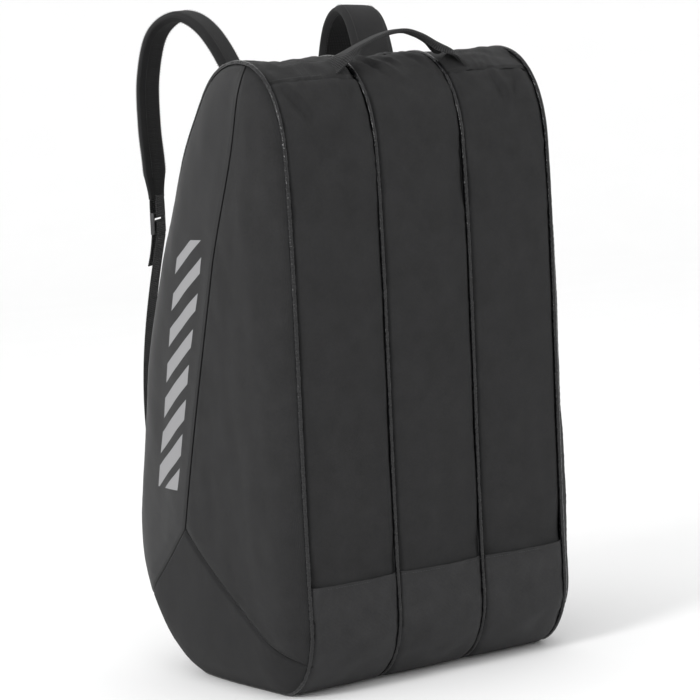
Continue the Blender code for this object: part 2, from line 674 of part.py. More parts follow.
for side, sign, i in (("left", -1, 0), ("right", 1, 2)):
    frame = strap_frame(side, sign)
    across = (frame.to_3x3() @ Vector((1, 0, 0))).normalized()
    pin_top = frame @ Vector((0, 0, STRAP_ROOT[1]))
    pin_foot = strap_foot(side, frame)
    swing = (pin_foot - pin_top).normalized()
    square = across.cross(swing).normalized()

    base_across = across
    root_frame = frame
    frame = swung(pin_top, swing, -sign * STRAP_SWING[side]) @ frame
    across = (frame.to_3x3() @ Vector((1, 0, 0))).normalized()
    pad = in_plane(side, frame, PAD_KNOTS, 30)
    faces = facing(pad, across)
    faces[0] = -across.cross(swing).normalized()
    grow = [ROOT_WIDTH + (PAD_WIDTH - ROOT_WIDTH) * smooth(k / 6) - 0.018 * smooth((k - 26) / 3)
            for k in range(30)]
    thick = [0.009 + (PAD_THICKNESS - 0.009) * smooth(k / 4) - 0.004 * smooth((k - 26) / 3)
             for k in range(30)]
    sweep(f"strap_pad_{side}", pad, faces, grow, thick, across, PADDING)

    sewn = spaced(STARTS[5] + 0.146, 3, STARTS[5] + 0.108)
    rows = [on_skin(i, s, pin_top.x, ROOT_WIDTH, 0.004) for s in sewn]
    rise = root_frame @ Vector((0, -0.002, STRAP_ROOT[1] - 0.018))
    rows += [straight(rise, base_across, ROOT_WIDTH, square, 0.008),
             straight(pin_top + swing * 0.0005, base_across, ROOT_WIDTH, square, 0.009)]
    strip(f"strap_root_{side}", rows, PADDING)

    top, foot = (strap_point(side, frame, run, high) for run, high in (LOCK_TOP, LOCK_FOOT))
    down = (foot - top).normalized()
    out = across.cross(down).normalized()
    lock = Matrix.Translation(top) @ Matrix((across, down, out)).transposed().to_4x4()
    assembly(f"ladder_lock_{side}", [
        ((-0.0180, 0.0000, -0.0020), (0.0180, 0.0040, 0.0020)),
        ((-0.0180, 0.0130, -0.0020), (0.0180, 0.0165, 0.0020)),
        ((-0.0180, 0.0240, -0.0020), (0.0180, 0.0280, 0.0020)),
        ((-0.0180, 0.0000, -0.0024), (-0.0138, 0.0280, 0.0024)),
        ((0.0138, 0.0000, -0.0024), (0.0180, 0.0280, 0.0024)),
    ], lock, BUCKLE)

    loop = [Vector((0, -0.0130, 0.0040)), Vector((0, 0.0030, 0.0040)), Vector((0, 0.0056, 0.0031)),
            Vector((0, 0.0068, 0.0)), Vector((0, 0.0056, -0.0031)), Vector((0, 0.0030, -0.0040)),
            Vector((0, -0.0130, -0.0040))]
    loop = [lock @ p for p in loop]
    sweep(f"lock_loop_{side}", loop, facing(loop, across), [WEBBING_WIDTH] * 7,
          [WEBBING_THICKNESS] * 7, across, WEBBING)
    wrap = [Vector((0, 0.0300, -0.0034)), Vector((0, 0.0140, -0.0034)), Vector((0, 0.0118, -0.0028)),
            Vector((0, 0.0108, 0.0)), Vector((0, 0.0118, 0.0028)), Vector((0, 0.0140, 0.0034)),
            Vector((0, 0.0300, 0.0034)), Vector((0, 0.0520, 0.0066)), Vector((0, 0.0700, 0.0110))]
    wrap = [lock @ p for p in wrap]
    sweep(f"webbing_wrap_{side}", wrap, facing(wrap, across), [WEBBING_WIDTH] * 9,
          [WEBBING_THICKNESS] * 9, across, WEBBING)

    start = lock @ Vector((0, 0.0305, -0.0034))
    end = pin_foot - swing * 0.0004
    away = frame.to_3x3() @ Vector((0, WEB_BOW, 0))
    web = [start.lerp(end, k / 15) + away * sin(pi * k / 15) for k in range(16)]
    lifts = facing(web, across)
    lifts[0] = out
    lifts[-1] = across.cross(swing).normalized()
    sweep(f"strap_webbing_{side}", web, lifts, [WEBBING_WIDTH] * 16, [WEBBING_THICKNESS] * 16,
          across, WEBBING)

    s_tab = nearest(np.array((0.372, 0.104)), 0.0)
    rows = [on_skin(i, s, pin_foot.x, 0.036, 0.0020) for s in spaced(s_tab + 0.030, 2, s_tab)]
    rows.append(straight(pin_foot + swing * 0.0005, base_across, 0.028, square, 0.0020))
    strip(f"strap_tab_{side}", rows, WEBBING)
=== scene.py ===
from math import cos, pi, radians, sin

import bmesh
import bpy
import numpy as np
from mathutils import Matrix, Vector


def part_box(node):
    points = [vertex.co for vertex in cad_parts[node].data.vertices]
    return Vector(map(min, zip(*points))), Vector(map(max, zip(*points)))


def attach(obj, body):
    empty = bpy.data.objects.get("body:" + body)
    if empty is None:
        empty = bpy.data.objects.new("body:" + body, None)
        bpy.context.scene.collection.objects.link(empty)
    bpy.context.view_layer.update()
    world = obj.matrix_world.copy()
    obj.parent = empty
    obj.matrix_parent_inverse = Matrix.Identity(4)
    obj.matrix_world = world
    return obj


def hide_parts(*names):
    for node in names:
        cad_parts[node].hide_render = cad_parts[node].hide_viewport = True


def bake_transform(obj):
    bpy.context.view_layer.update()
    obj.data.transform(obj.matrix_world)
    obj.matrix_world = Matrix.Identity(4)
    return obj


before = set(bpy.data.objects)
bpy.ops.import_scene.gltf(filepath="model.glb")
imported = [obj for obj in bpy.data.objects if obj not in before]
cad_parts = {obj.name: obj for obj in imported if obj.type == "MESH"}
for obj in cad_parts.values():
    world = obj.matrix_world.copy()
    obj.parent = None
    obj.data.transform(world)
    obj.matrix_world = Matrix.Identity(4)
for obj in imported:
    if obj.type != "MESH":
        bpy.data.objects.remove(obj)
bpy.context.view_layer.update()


# Front panels: padded woven cloth in three widths, sewn into the long piped seams. The outer two run
# from the guards to the seam under the top, and the middle one over the brow to a seam on the crown.

def pulled(start, pull, push, end, count=300):
    t = np.arange(count)[:, None] / count
    marks = [np.array(p) for p in (start, pull, push, end)]
    weights = ((1 - t) ** 3, 3 * t * (1 - t) ** 2, 3 * t ** 2 * (1 - t), t ** 3)
    return sum(weight * mark for weight, mark in zip(weights, marks))


def arched(start, end, radius, count=1200):
    a, b = np.array(start), np.array(end)
    chord = b - a
    side = np.array((chord[1], -chord[0])) / np.linalg.norm(chord)
    centre = (a + b) / 2 + side * (radius ** 2 - (np.linalg.norm(chord) / 2) ** 2) ** 0.5
    first, last = (np.arctan2(p[1] - centre[1], p[0] - centre[0]) for p in (start, end))
    turn = first + (last - first) * np.arange(count) / count
    return centre + radius * np.stack((np.cos(turn), np.sin(turn)), axis=1)


front_y = 0.155                       # from the front seam to the middle of the base
height = 0.770
brow, crown, zip_head = (-0.010, 0.655), (0.088, height), (0.166, 0.728)
zip_tail, heel, toe = (0.369, 0.235), (0.348, 0.075), (0.003, 0.095)
stretches = [
    pulled((0.235, 0), (0.18, 0), (0.13, 0), (0.075, 0)),
    pulled((0.075, 0), (0.042, 0), (0.004, 0.035), toe),
    pulled(toe, (0.003, 0.28), (-0.014, 0.50), brow, 800),
    pulled(brow, (-0.008, 0.725), (0.030, height), crown),
    pulled(crown, (0.122, height), (0.150, 0.757), zip_head),
    arched(zip_head, zip_tail, 1.70),
    pulled(zip_tail, (0.3785, 0.198), (0.385, 0.118), heel),
    pulled(heel, (0.321, 0.042), (0.280, 0), (0.235, 0)),
]
loop = np.vstack(stretches + [stretches[0][:1]])
along = np.concatenate(([0.0], np.cumsum(np.linalg.norm(np.diff(loop, axis=0), axis=1))))
girth = along[-1]
corner_at = along[np.cumsum([0] + [len(s) for s in stretches])]


def outline(s):
    s = np.mod(s, girth)
    return np.interp(s, along, loop[:, 0]), np.interp(s, along, loop[:, 1])


def outward(s):
    (y0, z0), (y1, z1) = outline(s - 0.004), outline(s + 0.004)
    length = np.hypot(y1 - y0, z1 - z0)
    return -(z1 - z0) / length, (y1 - y0) / length


def where(stretch, level):
    s = np.linspace(corner_at[stretch], corner_at[stretch + 1], 2000)
    z = outline(s)[1]
    order = np.argsort(z)
    return float(np.interp(level, z[order], s[order]))


guard_seam, top_seam = where(2, 0.142), where(3, 0.740)
cloth_tops = (top_seam, corner_at[4], top_seam)
zip_start, zip_end = where(5, 0.712), where(5, 0.245)
mouth_start, mouth_end = where(5, 0.575), where(5, 0.295)


def ease(x):
    x = np.clip(x, 0.0, 1.0)
    return x * x * (3 - 2 * x)


def outer_seam(y, z):
    return 0.190 + 0.015 * ease((y - 0.02) / 0.20) * ease((0.80 - z) / 0.15)


inner_seam = 0.0633
zip_line = (-0.184, 0.0, 0.184)


def seams_beside(room, s):
    edge = outer_seam(*outline(s))
    inner = np.full_like(edge, inner_seam)
    return ((-edge, -inner), (-inner, inner), (inner, edge))[room]


def swell(s):
    marks = (0, corner_at[1], guard_seam, top_seam, corner_at[4], corner_at[5], corner_at[6], girth)
    return np.interp(np.mod(s, girth), marks, (0, 0, 0.008, 0.0064, -0.002, 0.004, 0.004, 0))


def surface(room, s, x, lift):
    """Points on the bag's skin, in the room's panel, raised by lift."""
    low, high = seams_beside(room, s)
    y, z = outline(s)
    beside_zip = ease((y - 0.10) / 0.06) * ease((z - 0.04) / 0.14)
    trim = (high if room == 2 else -low) - 0.170
    low = low + trim * beside_zip * (room == 0)
    high = high - trim * beside_zip * (room == 2)
    across = np.clip((x - low) / (high - low), 0, 1)
    rise = swell(s) * (1 - np.abs(2 * across - 1) ** 2.4) + lift
    ny, nz = outward(s)
    return np.stack((x, y + ny * rise - front_y, z + nz * rise), axis=-1)


def creases(u, v, seed, size, depth):
    """Soft irregular hollows, the same on every run."""
    chance = np.random.default_rng(seed)
    total = np.zeros_like(u)
    for octave in range(3):
        for _ in range(6):
            turn, phase = chance.uniform(0, 2 * pi, 2)
            wave = 2 * pi / (size * chance.uniform(0.7, 1.5)) * 1.9 ** octave
            bend = 0.8 * np.sin(wave * 0.37 * (u * sin(turn) - v * cos(turn)) + phase)
            total += np.sin(wave * (u * cos(turn) + v * sin(turn)) + phase + bend) / 2.1 ** octave
    return total * depth / 4


def gathers(beside, run, seed, pitch, depth, reach):
    """Small folds that stand square to a seam and die away from it."""
    chance = np.random.default_rng(seed)
    drift = sum(np.sin(run * 2 * pi / chance.uniform(0.04, 0.13) + chance.uniform(0, 6)) for _ in range(3))
    strength = 0.6 + 0.4 * np.sin(run * 2 * pi / chance.uniform(0.06, 0.11) + chance.uniform(0, 6))
    return depth * strength * np.sin(run * 2 * pi / pitch + drift) * np.exp(-beside / reach)


def body_from(name, points, faces, uv, finish):
    """A mesh piece at the origin, with its cloth map in metres."""
    mesh = bpy.data.meshes.new(name)
    mesh.from_pydata([tuple(p) for p in points], [], faces)
    cloth_map = mesh.uv_layers.new(name="cloth")
    spots = np.empty(len(mesh.loops), np.int32)
    mesh.loops.foreach_get("vertex_index", spots)
    cloth_map.data.foreach_set("uv", np.asarray(uv, np.float32)[spots].ravel())
    check = bmesh.new()
    check.from_mesh(mesh)
    bmesh.ops.recalc_face_normals(check, faces=check.faces)
    check.to_mesh(mesh)
    check.free()
    mesh.materials.append(finish)
    mesh.shade_smooth()
    mesh.set_sharp_from_angle(angle=radians(50))
    piece = bpy.data.objects.new(name, mesh)
    bpy.context.scene.collection.objects.link(piece)
    return piece


def layered(name, outer, inner, uv, finish):
    """A grid of points with its back: rows by columns, closed all round."""
    rows, columns = outer.shape[:2]
    first = np.arange(rows * columns).reshape(rows, columns)
    a, b, c, d = first[:-1, :-1], first[1:, :-1], first[1:, 1:], first[:-1, 1:]
    quads = np.stack((a, b, c, d), axis=-1).reshape(-1, 4)
    back = quads[:, ::-1] + rows * columns
    rim = np.concatenate((first[0, :], first[1:, -1], first[-1, -2::-1], first[-2:0:-1, 0]))
    after = np.roll(rim, -1)
    edge = np.stack((rim, after, after + rows * columns, rim + rows * columns), axis=-1)
    points = np.concatenate((outer.reshape(-1, 3), inner.reshape(-1, 3)))
    both = np.concatenate((uv.reshape(-1, 2), uv.reshape(-1, 2)))
    return body_from(name, points, np.concatenate((quads, back, edge)).tolist(), both, finish)


class Feed:
    """A shader socket that ordinary arithmetic works on."""

    def __init__(self, tree, socket):
        self.tree, self.socket = tree, socket

    def _with(self, operation, first, second):
        maths = self.tree.nodes.new("ShaderNodeMath")
        maths.operation = operation
        for slot, value in zip(maths.inputs, (first, second)):
            if isinstance(value, Feed):
                self.tree.links.new(value.socket, slot)
            else:
                slot.default_value = value
        return Feed(self.tree, maths.outputs[0])

    def __add__(self, other): return self._with("ADD", self, other)
    def __sub__(self, other): return self._with("SUBTRACT", self, other)
    def __rsub__(self, other): return self._with("SUBTRACT", other, self)
    def __mul__(self, other): return self._with("MULTIPLY", self, other)
    def __lt__(self, other): return self._with("LESS_THAN", self, other)
    def __gt__(self, other): return self._with("GREATER_THAN", self, other)
    def wave(self): return self._with("SINE", self, 0.0)
    def size(self): return self._with("ABSOLUTE", self, 0.0)


class Finish:
    """A material, its shader, and the one way nodes are added to it."""

    def __init__(self, name, roughness, **constants):
        self.material = bpy.data.materials.new(name)
        self.material.use_nodes = True
        self.tree = self.material.node_tree
        self.shader = self.tree.nodes["Principled BSDF"]
        self.shader.inputs["Roughness"].default_value = roughness
        for socket, value in constants.items():
            self.shader.inputs[socket.replace("_", " ")].default_value = value

    def node(self, kind, settings=None, values=None, out=0):
        made = self.tree.nodes.new(kind)
        for key, value in (settings or {}).items():
            setattr(made, key, value)
        for key, value in (values or {}).items():
            if isinstance(value, Feed):
                self.tree.links.new(value.socket, made.inputs[key])
            else:
                made.inputs[key].default_value = value
        return Feed(self.tree, made.outputs[out])

    def feed(self, socket, value):
        self.tree.links.new(value.socket, self.shader.inputs[socket])

    def tint(self, dark, light, share):
        """Base colour between two tones."""
        mixed = self.node("ShaderNodeMix", {"data_type": "RGBA"},
                          {0: share, 6: (*dark, 1), 7: (*light, 1)}, out=2)
        self.feed("Base Color", mixed)

    def grain(self, scale, detail=2.0):
        """Noise that is fixed to the piece."""
        place = self.node("ShaderNodeTexCoord", out=3)
        return self.node("ShaderNodeTexNoise", None, {"Vector": place, "Scale": scale, "Detail": detail})

    def relief(self, level, distance):
        self.feed("Normal", self.node("ShaderNodeBump", None,
                                      {"Height": level, "Distance": distance, "Strength": 1.0}))


def cloth_finish(name, tone, roughness, thread=0.0011, mottle=0.70, weave=0.00016, cell=0.0, sheen=0.02):
    """Woven cloth: crossing threads on the cloth map, and a faint mottle in its tone."""
    made = Finish(name, roughness, Sheen_Weight=sheen, Sheen_Roughness=0.5, Specular_IOR_Level=0.22)
    place = made.node("ShaderNodeTexCoord", out=2)
    split = made.node("ShaderNodeSeparateXYZ", None, {0: place})
    u, v = split, Feed(made.tree, split.socket.node.outputs[1])
    over = (u * (2 * pi / thread)).wave()
    under = (v * (2 * pi / thread)).wave()
    threads = over * 0.5 + under * 0.5 + over * under
    cloud = made.node("ShaderNodeTexNoise", None, {"Vector": made.node("ShaderNodeTexCoord", out=3),
                                                   "Scale": 38.0, "Detail": 5.0, "Roughness": 0.62})
    fleck = made.grain(420.0)
    share = cloud * 0.65 + fleck * 0.35 + threads * 0.05
    if cell:
        grid = ((u * (pi / cell)).wave().size() < 0.10) + ((v * (pi / cell)).wave().size() < 0.10)
        share = share + grid * 0.10
        threads = threads + grid * 1.2
    low = tuple(c * (1 - mottle) for c in tone)
    high = tuple(c * (1 + mottle) for c in tone)
    made.tint(low, high, share)
    made.feed("Roughness", cloud * 0.12 + (roughness - 0.06))
    made.relief(threads + fleck * 0.8 + cloud * 2.0, weave)
    return made.material


woven = cloth_finish("woven_cloth", (0.0185, 0.0185, 0.0190), 0.80)


def panel(name, room, start, end, finish, low=None, high=None, step=0.0042, thick=0.0030,
          folds=lambda s, x, low, high: 0.0, lift=0.0):
    """A wall of one room between two lengths of the outline, from seam to seam."""
    rows = max(4, int((end - start) / step))
    s = np.linspace(start, end, rows)
    left, right = seams_beside(room, s)
    left = left + 0.0016 if low is None else np.full_like(s, low)
    right = right - 0.0016 if high is None else np.full_like(s, high)
    columns = max(3, int(np.max(right - left) / step))
    share = np.linspace(0, 1, columns)
    x = left[:, None] + (right - left)[:, None] * share
    s = np.repeat(s[:, None], columns, axis=1)
    side = np.full_like(x, 9.0)
    if low is None:
        side = np.minimum(side, x - left[:, None])
    if high is None:
        side = np.minimum(side, right[:, None] - x)
    tuck = -0.0040 * np.exp(-(side / 0.0042) ** 2)
    rise = tuck + lift + folds(s, x, left[:, None], right[:, None])
    outer = surface(room, s, x, rise)
    inner = surface(room, s, x, rise - thick)
    return layered(name, outer, inner, np.stack((x, s), axis=-1), finish)


rooms = ("left", "middle", "right")


def pinched(x, below, line, depth, width=0.0042):
    """A crease of the front along a short line: x and distance below the top seam at both ends."""
    x0, d0, x1, d1 = line
    run = np.array((x1 - x0, d1 - d0))
    share = np.clip(((x - x0) * run[0] + (below - d0) * run[1]) / (run @ run), 0, 1)
    away = np.hypot(x - x0 - share * run[0], below - d0 - share * run[1])
    signed = away * np.sign((x - x0) * run[1] - (below - d0) * run[0])
    hollow = np.exp(-(away / width) ** 2) - 0.8 * np.exp(-((signed - 2 * width) / (1.4 * width)) ** 2)
    return -depth * hollow * np.sin(pi * np.clip(share * 0.8 + 0.15, 0, 1)) * (share < 1)


pinches = (((-0.175, 0.010, -0.150, 0.060), (-0.112, 0.004, -0.104, 0.030), (-0.080, 0.004, -0.090, 0.040)),
           ((-0.044, 0.020, -0.014, 0.095), (0.030, 0.030, 0.040, 0.075), (-0.010, 0.034, -0.002, 0.066)),
           ((0.122, 0.002, 0.136, 0.048), (0.084, 0.004, 0.092, 0.030), (0.160, 0.006, 0.150, 0.044)))
pinch_depths = (0.0042, 0.0024, 0.0026)


def front_folds(s, x, low, high, room):
    beside = np.minimum(x - low, high - x)
    below_top = cloth_tops[room] - s
    tugs = sum(pinched(x, below_top, line, depth) for line, depth in zip(pinches[room], pinch_depths))
    slack = 0.25 + 0.75 * ease((s - guard_seam - 0.30) / 0.25)
    return (creases(x, s * 0.55, 11 + room, 0.090, 0.0026 * slack)
            + creases(x, s, 18 + room, 0.030, 0.0007 * slack)
            + gathers(beside, s, 12 + room, 0.024, 0.0008, 0.010) * slack
            + gathers(np.abs(below_top), x, 13 + room, 0.017, 0.0013, 0.020)
            - 0.0022 * np.exp(-(below_top / 0.0035) ** 2) + tugs
            - 0.0040 * np.exp(-((s - guard_seam - 0.012) / 0.022) ** 2))


for room, side in enumerate(rooms):
    piece = panel(f"front_cloth_{side}", room, guard_seam - 0.004, cloth_tops[room], woven,
                  folds=lambda s, x, a, b, k=room: front_folds(s, x, a, b, k))
    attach(piece, "bag")
    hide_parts(f"front_panel_{side}")


# Base guards: one piece of coated cloth per room that wraps the foot of the bag, lapped over the
# front panels and held by a row of stitches. The coating is matt, with a faint mottle.

coated = cloth_finish("coated_cloth", (0.0205, 0.0205, 0.0212), 0.62, thread=0.0016, mottle=0.80,
                      weave=0.00010, sheen=0.02)


def guard_folds(s, x, low, high, seed):
    below = guard_seam - s
    beside = np.minimum(x - low, high - x)
    off_floor = ease((outline(s)[1] - 0.004) / 0.03)
    return off_floor * (creases(x, s, seed, 0.070, 0.0014)
                        + gathers(beside, s, seed + 1, 0.020, 0.0007, 0.008)
                        - 0.0007 * np.exp(-((below - 0.003) / 0.0018) ** 2)
                        + gathers(below, x, seed + 3, 0.021, 0.0004, 0.010))


for room, side in enumerate(rooms):
    piece = panel(f"guard_{side}", room, 0.0, guard_seam, coated, thick=0.0024,
                  lift=0.0, folds=lambda s, x, a, b, k=room: 0.0012 * ease((outline(s)[1] - 0.01) / 0.05)
                  + guard_folds(s, x, a, b, 31 + k))
    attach(piece, "bag")
    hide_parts(f"base_guard_{side}")


# Stitches: lock stitches of polyester thread, sunk in the cloth at an even pitch. Each row is laid
# at points on the cloth and turned along its seam.

def repeat_tree():
    """Lays one small rounded form at every point, turned along its run and out of the surface."""
    tree = bpy.data.node_groups.new("laid_in_a_row", "GeometryNodeTree")
    face = tree.interface
    face.new_socket("Geometry", in_out="INPUT", socket_type="NodeSocketGeometry")
    for name, start in (("Length", 0.0022), ("Width", 0.0006), ("Thickness", 0.0005)):
        face.new_socket(name, in_out="INPUT", socket_type="NodeSocketFloat").default_value = start
    face.new_socket("Material", in_out="INPUT", socket_type="NodeSocketMaterial")
    face.new_socket("Geometry", in_out="OUTPUT", socket_type="NodeSocketGeometry")
    add, join = tree.nodes.new, tree.links.new
    given, made = add("NodeGroupInput"), add("NodeGroupOutput")
    run, out = add("GeometryNodeInputNamedAttribute"), add("GeometryNodeInputNamedAttribute")
    for read, name in ((run, "run"), (out, "out")):
        read.data_type = "FLOAT_VECTOR"
        read.inputs["Name"].default_value = name
    turn, tilt = add("FunctionNodeAlignRotationToVector"), add("FunctionNodeAlignRotationToVector")
    turn.axis, tilt.axis, tilt.pivot_axis = "X", "Z", "X"
    join(run.outputs["Attribute"], turn.inputs["Vector"])
    join(turn.outputs[0], tilt.inputs["Rotation"])
    join(out.outputs["Attribute"], tilt.inputs["Vector"])
    form, points = add("GeometryNodeMeshUVSphere"), add("GeometryNodeMeshToPoints")
    form.inputs["Segments"].default_value, form.inputs["Rings"].default_value = 8, 4
    form.inputs["Radius"].default_value = 0.5
    sized, shape = add("ShaderNodeCombineXYZ"), add("GeometryNodeTransform")
    for axis, name in enumerate(("Length", "Width", "Thickness")):
        join(given.outputs[name], sized.inputs[axis])
    join(form.outputs[0], shape.inputs["Geometry"])
    join(sized.outputs[0], shape.inputs["Scale"])
    lay, real = add("GeometryNodeInstanceOnPoints"), add("GeometryNodeRealizeInstances")
    paint = add("GeometryNodeSetMaterial")
    join(given.outputs["Geometry"], points.inputs[0])
    join(points.outputs[0], lay.inputs["Points"])
    join(shape.outputs[0], lay.inputs["Instance"])
    join(tilt.outputs[0], lay.inputs["Rotation"])
    join(lay.outputs[0], real.inputs[0])
    join(real.outputs[0], paint.inputs["Geometry"])
    join(given.outputs["Material"], paint.inputs["Material"])
    join(paint.outputs[0], made.inputs[0])
    return tree


laid = repeat_tree()


def row(name, points, runs, outs, size, finish):
    """A row of small forms as one plain mesh."""
    mesh = bpy.data.meshes.new(name + "_marks")
    mesh.from_pydata([tuple(p) for p in points], [], [])
    for key, vectors in (("run", runs), ("out", outs)):
        mesh.attributes.new(key, "FLOAT_VECTOR", "POINT").data.foreach_set(
            "vector", np.asarray(vectors, np.float32).ravel())
    holder = bpy.data.objects.new(name + "_marks", mesh)
    bpy.context.scene.collection.objects.link(holder)
    nodes = holder.modifiers.new("laid", "NODES")
    nodes.node_group = laid
    sockets = {item.name: item.identifier for item in laid.interface.items_tree if item.in_out == "INPUT"}
    for key, value in zip(("Length", "Width", "Thickness", "Material"), (*size, finish)):
        nodes[sockets[key]] = value
    bpy.context.view_layer.update()
    seen = holder.evaluated_get(bpy.context.evaluated_depsgraph_get())
    plain = bpy.data.meshes.new_from_object(seen)
    plain.name = name
    plain.shade_smooth()
    bpy.data.objects.remove(holder, do_unlink=True)
    piece = bpy.data.objects.new(name, plain)
    bpy.context.scene.collection.objects.link(piece)
    return piece


def spaced_along(path, outs, pitch, offset=0.0):
    """Points at an even pitch along a path, with its direction and its outward direction."""
    path, outs = np.asarray(path, float), np.asarray(outs, float)
    reach = np.concatenate(([0.0], np.cumsum(np.linalg.norm(np.diff(path, axis=0), axis=1))))
    marks = np.arange(pitch / 2 + offset, reach[-1], pitch)
    at = np.stack([np.interp(marks, reach, path[:, k]) for k in range(3)], axis=1)
    out = np.stack([np.interp(marks, reach, outs[:, k]) for k in range(3)], axis=1)
    run = np.gradient(at, axis=0)
    run = run / np.maximum(np.linalg.norm(run, axis=1), 1e-9)[:, None]
    return at, run, out


thread = Finish("thread", 0.55)
thread_grain = thread.grain(900.0)
thread.tint((0.018, 0.018, 0.0185), (0.045, 0.045, 0.046), thread_grain)
thread = thread.material


def stitched(name, path, outs, body, pitch=0.0036, length=0.0025, wide=0.0007):
    piece = row(name, *spaced_along(path, outs, pitch), (length, wide, 0.0005), thread)
    if body:
        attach(piece, body)
    return piece


def across_room(room, s, lift):
    left, right = seams_beside(room, np.array([s]))
    x = np.linspace(left[0] + 0.003, right[0] - 0.003, 90)
    row_s = np.full_like(x, s)
    ny, nz = outward(row_s)
    return surface(room, row_s, x, lift), np.stack((0 * x, ny, nz), axis=1)


for room, side in enumerate(rooms):
    for k, (s, lift) in enumerate(((guard_seam - 0.003, 0.0009), (cloth_tops[room] + 0.0045, 0.0004))):
        path, outs = across_room(room, s, lift)
        stitched(f"seam_stitches_{k}_{side}", path, outs, "bag")


# Top panels: ripstop cloth that runs from the end of each front panel over the crown and down the
# back to the mouth of each room, gathered a little at the seam in front.

ripstop = cloth_finish("ripstop_cloth", (0.0175, 0.0175, 0.0180), 0.74, thread=0.0009, cell=0.0048,
                       sheen=0.04)


def top_folds(s, x, low, high, room):
    past = s - cloth_tops[room]
    seed = 51 + room
    beside = np.minimum(x - low, high - x)
    soft = 1 - 0.8 * ease((s - zip_start + 0.03) / 0.05)
    return (creases(x * 0.6, s, seed, 0.055, 0.0026) * soft
            + creases(x, s, seed + 9, 0.026, 0.0008) * soft
            + gathers(past, x, seed + 2, 0.015, 0.0013, 0.018)
            + gathers(beside, s, seed + 3, 0.021, 0.0007, 0.009) * soft
            - 0.0018 * np.exp(-(past / 0.003) ** 2))


slot_half = 0.0135                    # from a zip's line to the cloth beside its tape
beside_slots = (((zip_line[0] + slot_half, None),), ((None, -slot_half), (slot_half, None)),
                ((None, zip_line[2] - slot_half),))
for room, side in enumerate(rooms):
    piece = panel(f"top_cloth_{side}", room, cloth_tops[room], zip_start, ripstop,
                  folds=lambda s, x, a, b, k=room: top_folds(s, x, a, b, k))
    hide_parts(f"top_panel_{side}")
    parts = [piece]
    for k, (low, high) in enumerate(beside_slots[room]):
        parts.append(panel(f"top_back_cloth_{side}_{k}", room, zip_start - 0.0005, mouth_start - 0.0004,
                           ripstop, low=low, high=high,
                           folds=lambda s, x, a, b, m=room: creases(x, s, 61 + m, 0.05, 0.0008)))
        parts.append(panel(f"lower_back_cloth_{side}_{k}", room, mouth_end + 0.0004, zip_end + 0.0005, woven,
                           low=low, high=high,
                           folds=lambda s, x, a, b, m=room: creases(x, s, 71 + m, 0.05, 0.0008)))
    low_piece = panel(f"lower_back_foot_{side}", room, zip_end, girth, woven,
                      folds=lambda s, x, a, b, m=room: ease((outline(s)[1] - 0.004) / 0.03)
                      * creases(x, s, 81 + m, 0.06, 0.0018))
    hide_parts(f"lower_back_panel_{side}")
    parts.append(low_piece)
    for part in parts:
        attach(part, "bag")


# Mouth flaps: the cloth between each zip and the inner seam beside it. The flap is sewn in at both
# ends of the mouth and is made in two halves that meet at mid height.

mouth_middle = (mouth_start + mouth_end) / 2


def opens(piece, x):
    """Bakes a half flap's placement into its mesh."""
    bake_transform(piece)


flap_sides = (("left", 0, -1, "flap_left"), ("middle_left", 1, -1, "flap_middle_left"),
              ("middle_right", 1, 1, "flap_middle_right"), ("right", 2, 1, "flap_right"))
for name, room, sign, body in flap_sides:
    zip_x = zip_line[room]
    inner_x = sign * (inner_seam + 0.0018) if room != 1 else sign * (inner_seam - 0.0018)
    edge_x = zip_x - np.sign(zip_x - inner_x) * 0.0135
    low, high = sorted((inner_x, edge_x))
    for half, start, end in (("upper", mouth_start, mouth_middle), ("lower", mouth_middle, mouth_end)):
        piece = panel(f"flap_{name}_{half}", room, start, end, woven, low=low, high=high,
                      folds=lambda s, x, a, b, k=room: creases(x, s, 91 + k, 0.07, 0.0016)
                      - 0.0022 * np.exp(-(np.abs(x - inner_x) / 0.003) ** 2))
        opens(piece, inner_x)
        if half == "upper":
            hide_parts(f"mouth_flap_{name}")


# Zips: woven tape, a coil of nylon on each edge, and a line of stitches beside the coil. Between the
# mouth's ends one half of the tape is made in two pieces beside the flap; the rest is sewn to the bag.

tape_cloth = cloth_finish("zip_tape", (0.011, 0.011, 0.0115), 0.75, thread=0.0008, weave=0.00012)
coil = Finish("zip_coil", 0.38)
coil_grain = coil.grain(300.0)
coil.tint((0.016, 0.016, 0.017), (0.030, 0.030, 0.031), coil_grain)
coil = coil.material
chain_lift = 0.0006


def zip_half(name, room, start, end, side_sign, body, upper=None, width=0.0127):
    """Tape, coil and stitches on one side of a zip between two lengths. No width: up to the seam."""
    zip_x = zip_line[room]
    edges = [zip_x + side_sign * 0.0006, zip_x + side_sign * width if width else None][::side_sign]
    tape = panel(f"tape_{name}", room, start, end, tape_cloth, low=edges[0], high=edges[1], step=0.0035,
                 thick=0.0012, lift=-0.0004)
    s = np.linspace(start, end, 160)
    ny, nz = outward(s)
    outs = np.stack((0 * s, ny, nz), axis=1)
    path = surface(room, s, np.full_like(s, zip_x + side_sign * 0.0013), chain_lift)
    at, run, out = spaced_along(path, outs, 0.0016, 0.0004 * side_sign)
    teeth = row(f"coil_{name}", at, run, out, (0.0010, 0.0030, 0.0016), coil)
    line = surface(room, s, np.full_like(s, zip_x + side_sign * 0.0098), 0.0002)
    seam = stitched(f"zip_stitches_{name}", line, outs, None)
    for part in (tape, teeth, seam):
        if upper is None:
            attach(part, body)
        else:
            opens(part, (-1 if zip_x < inner_x else 1) * inner_seam)
    return tape


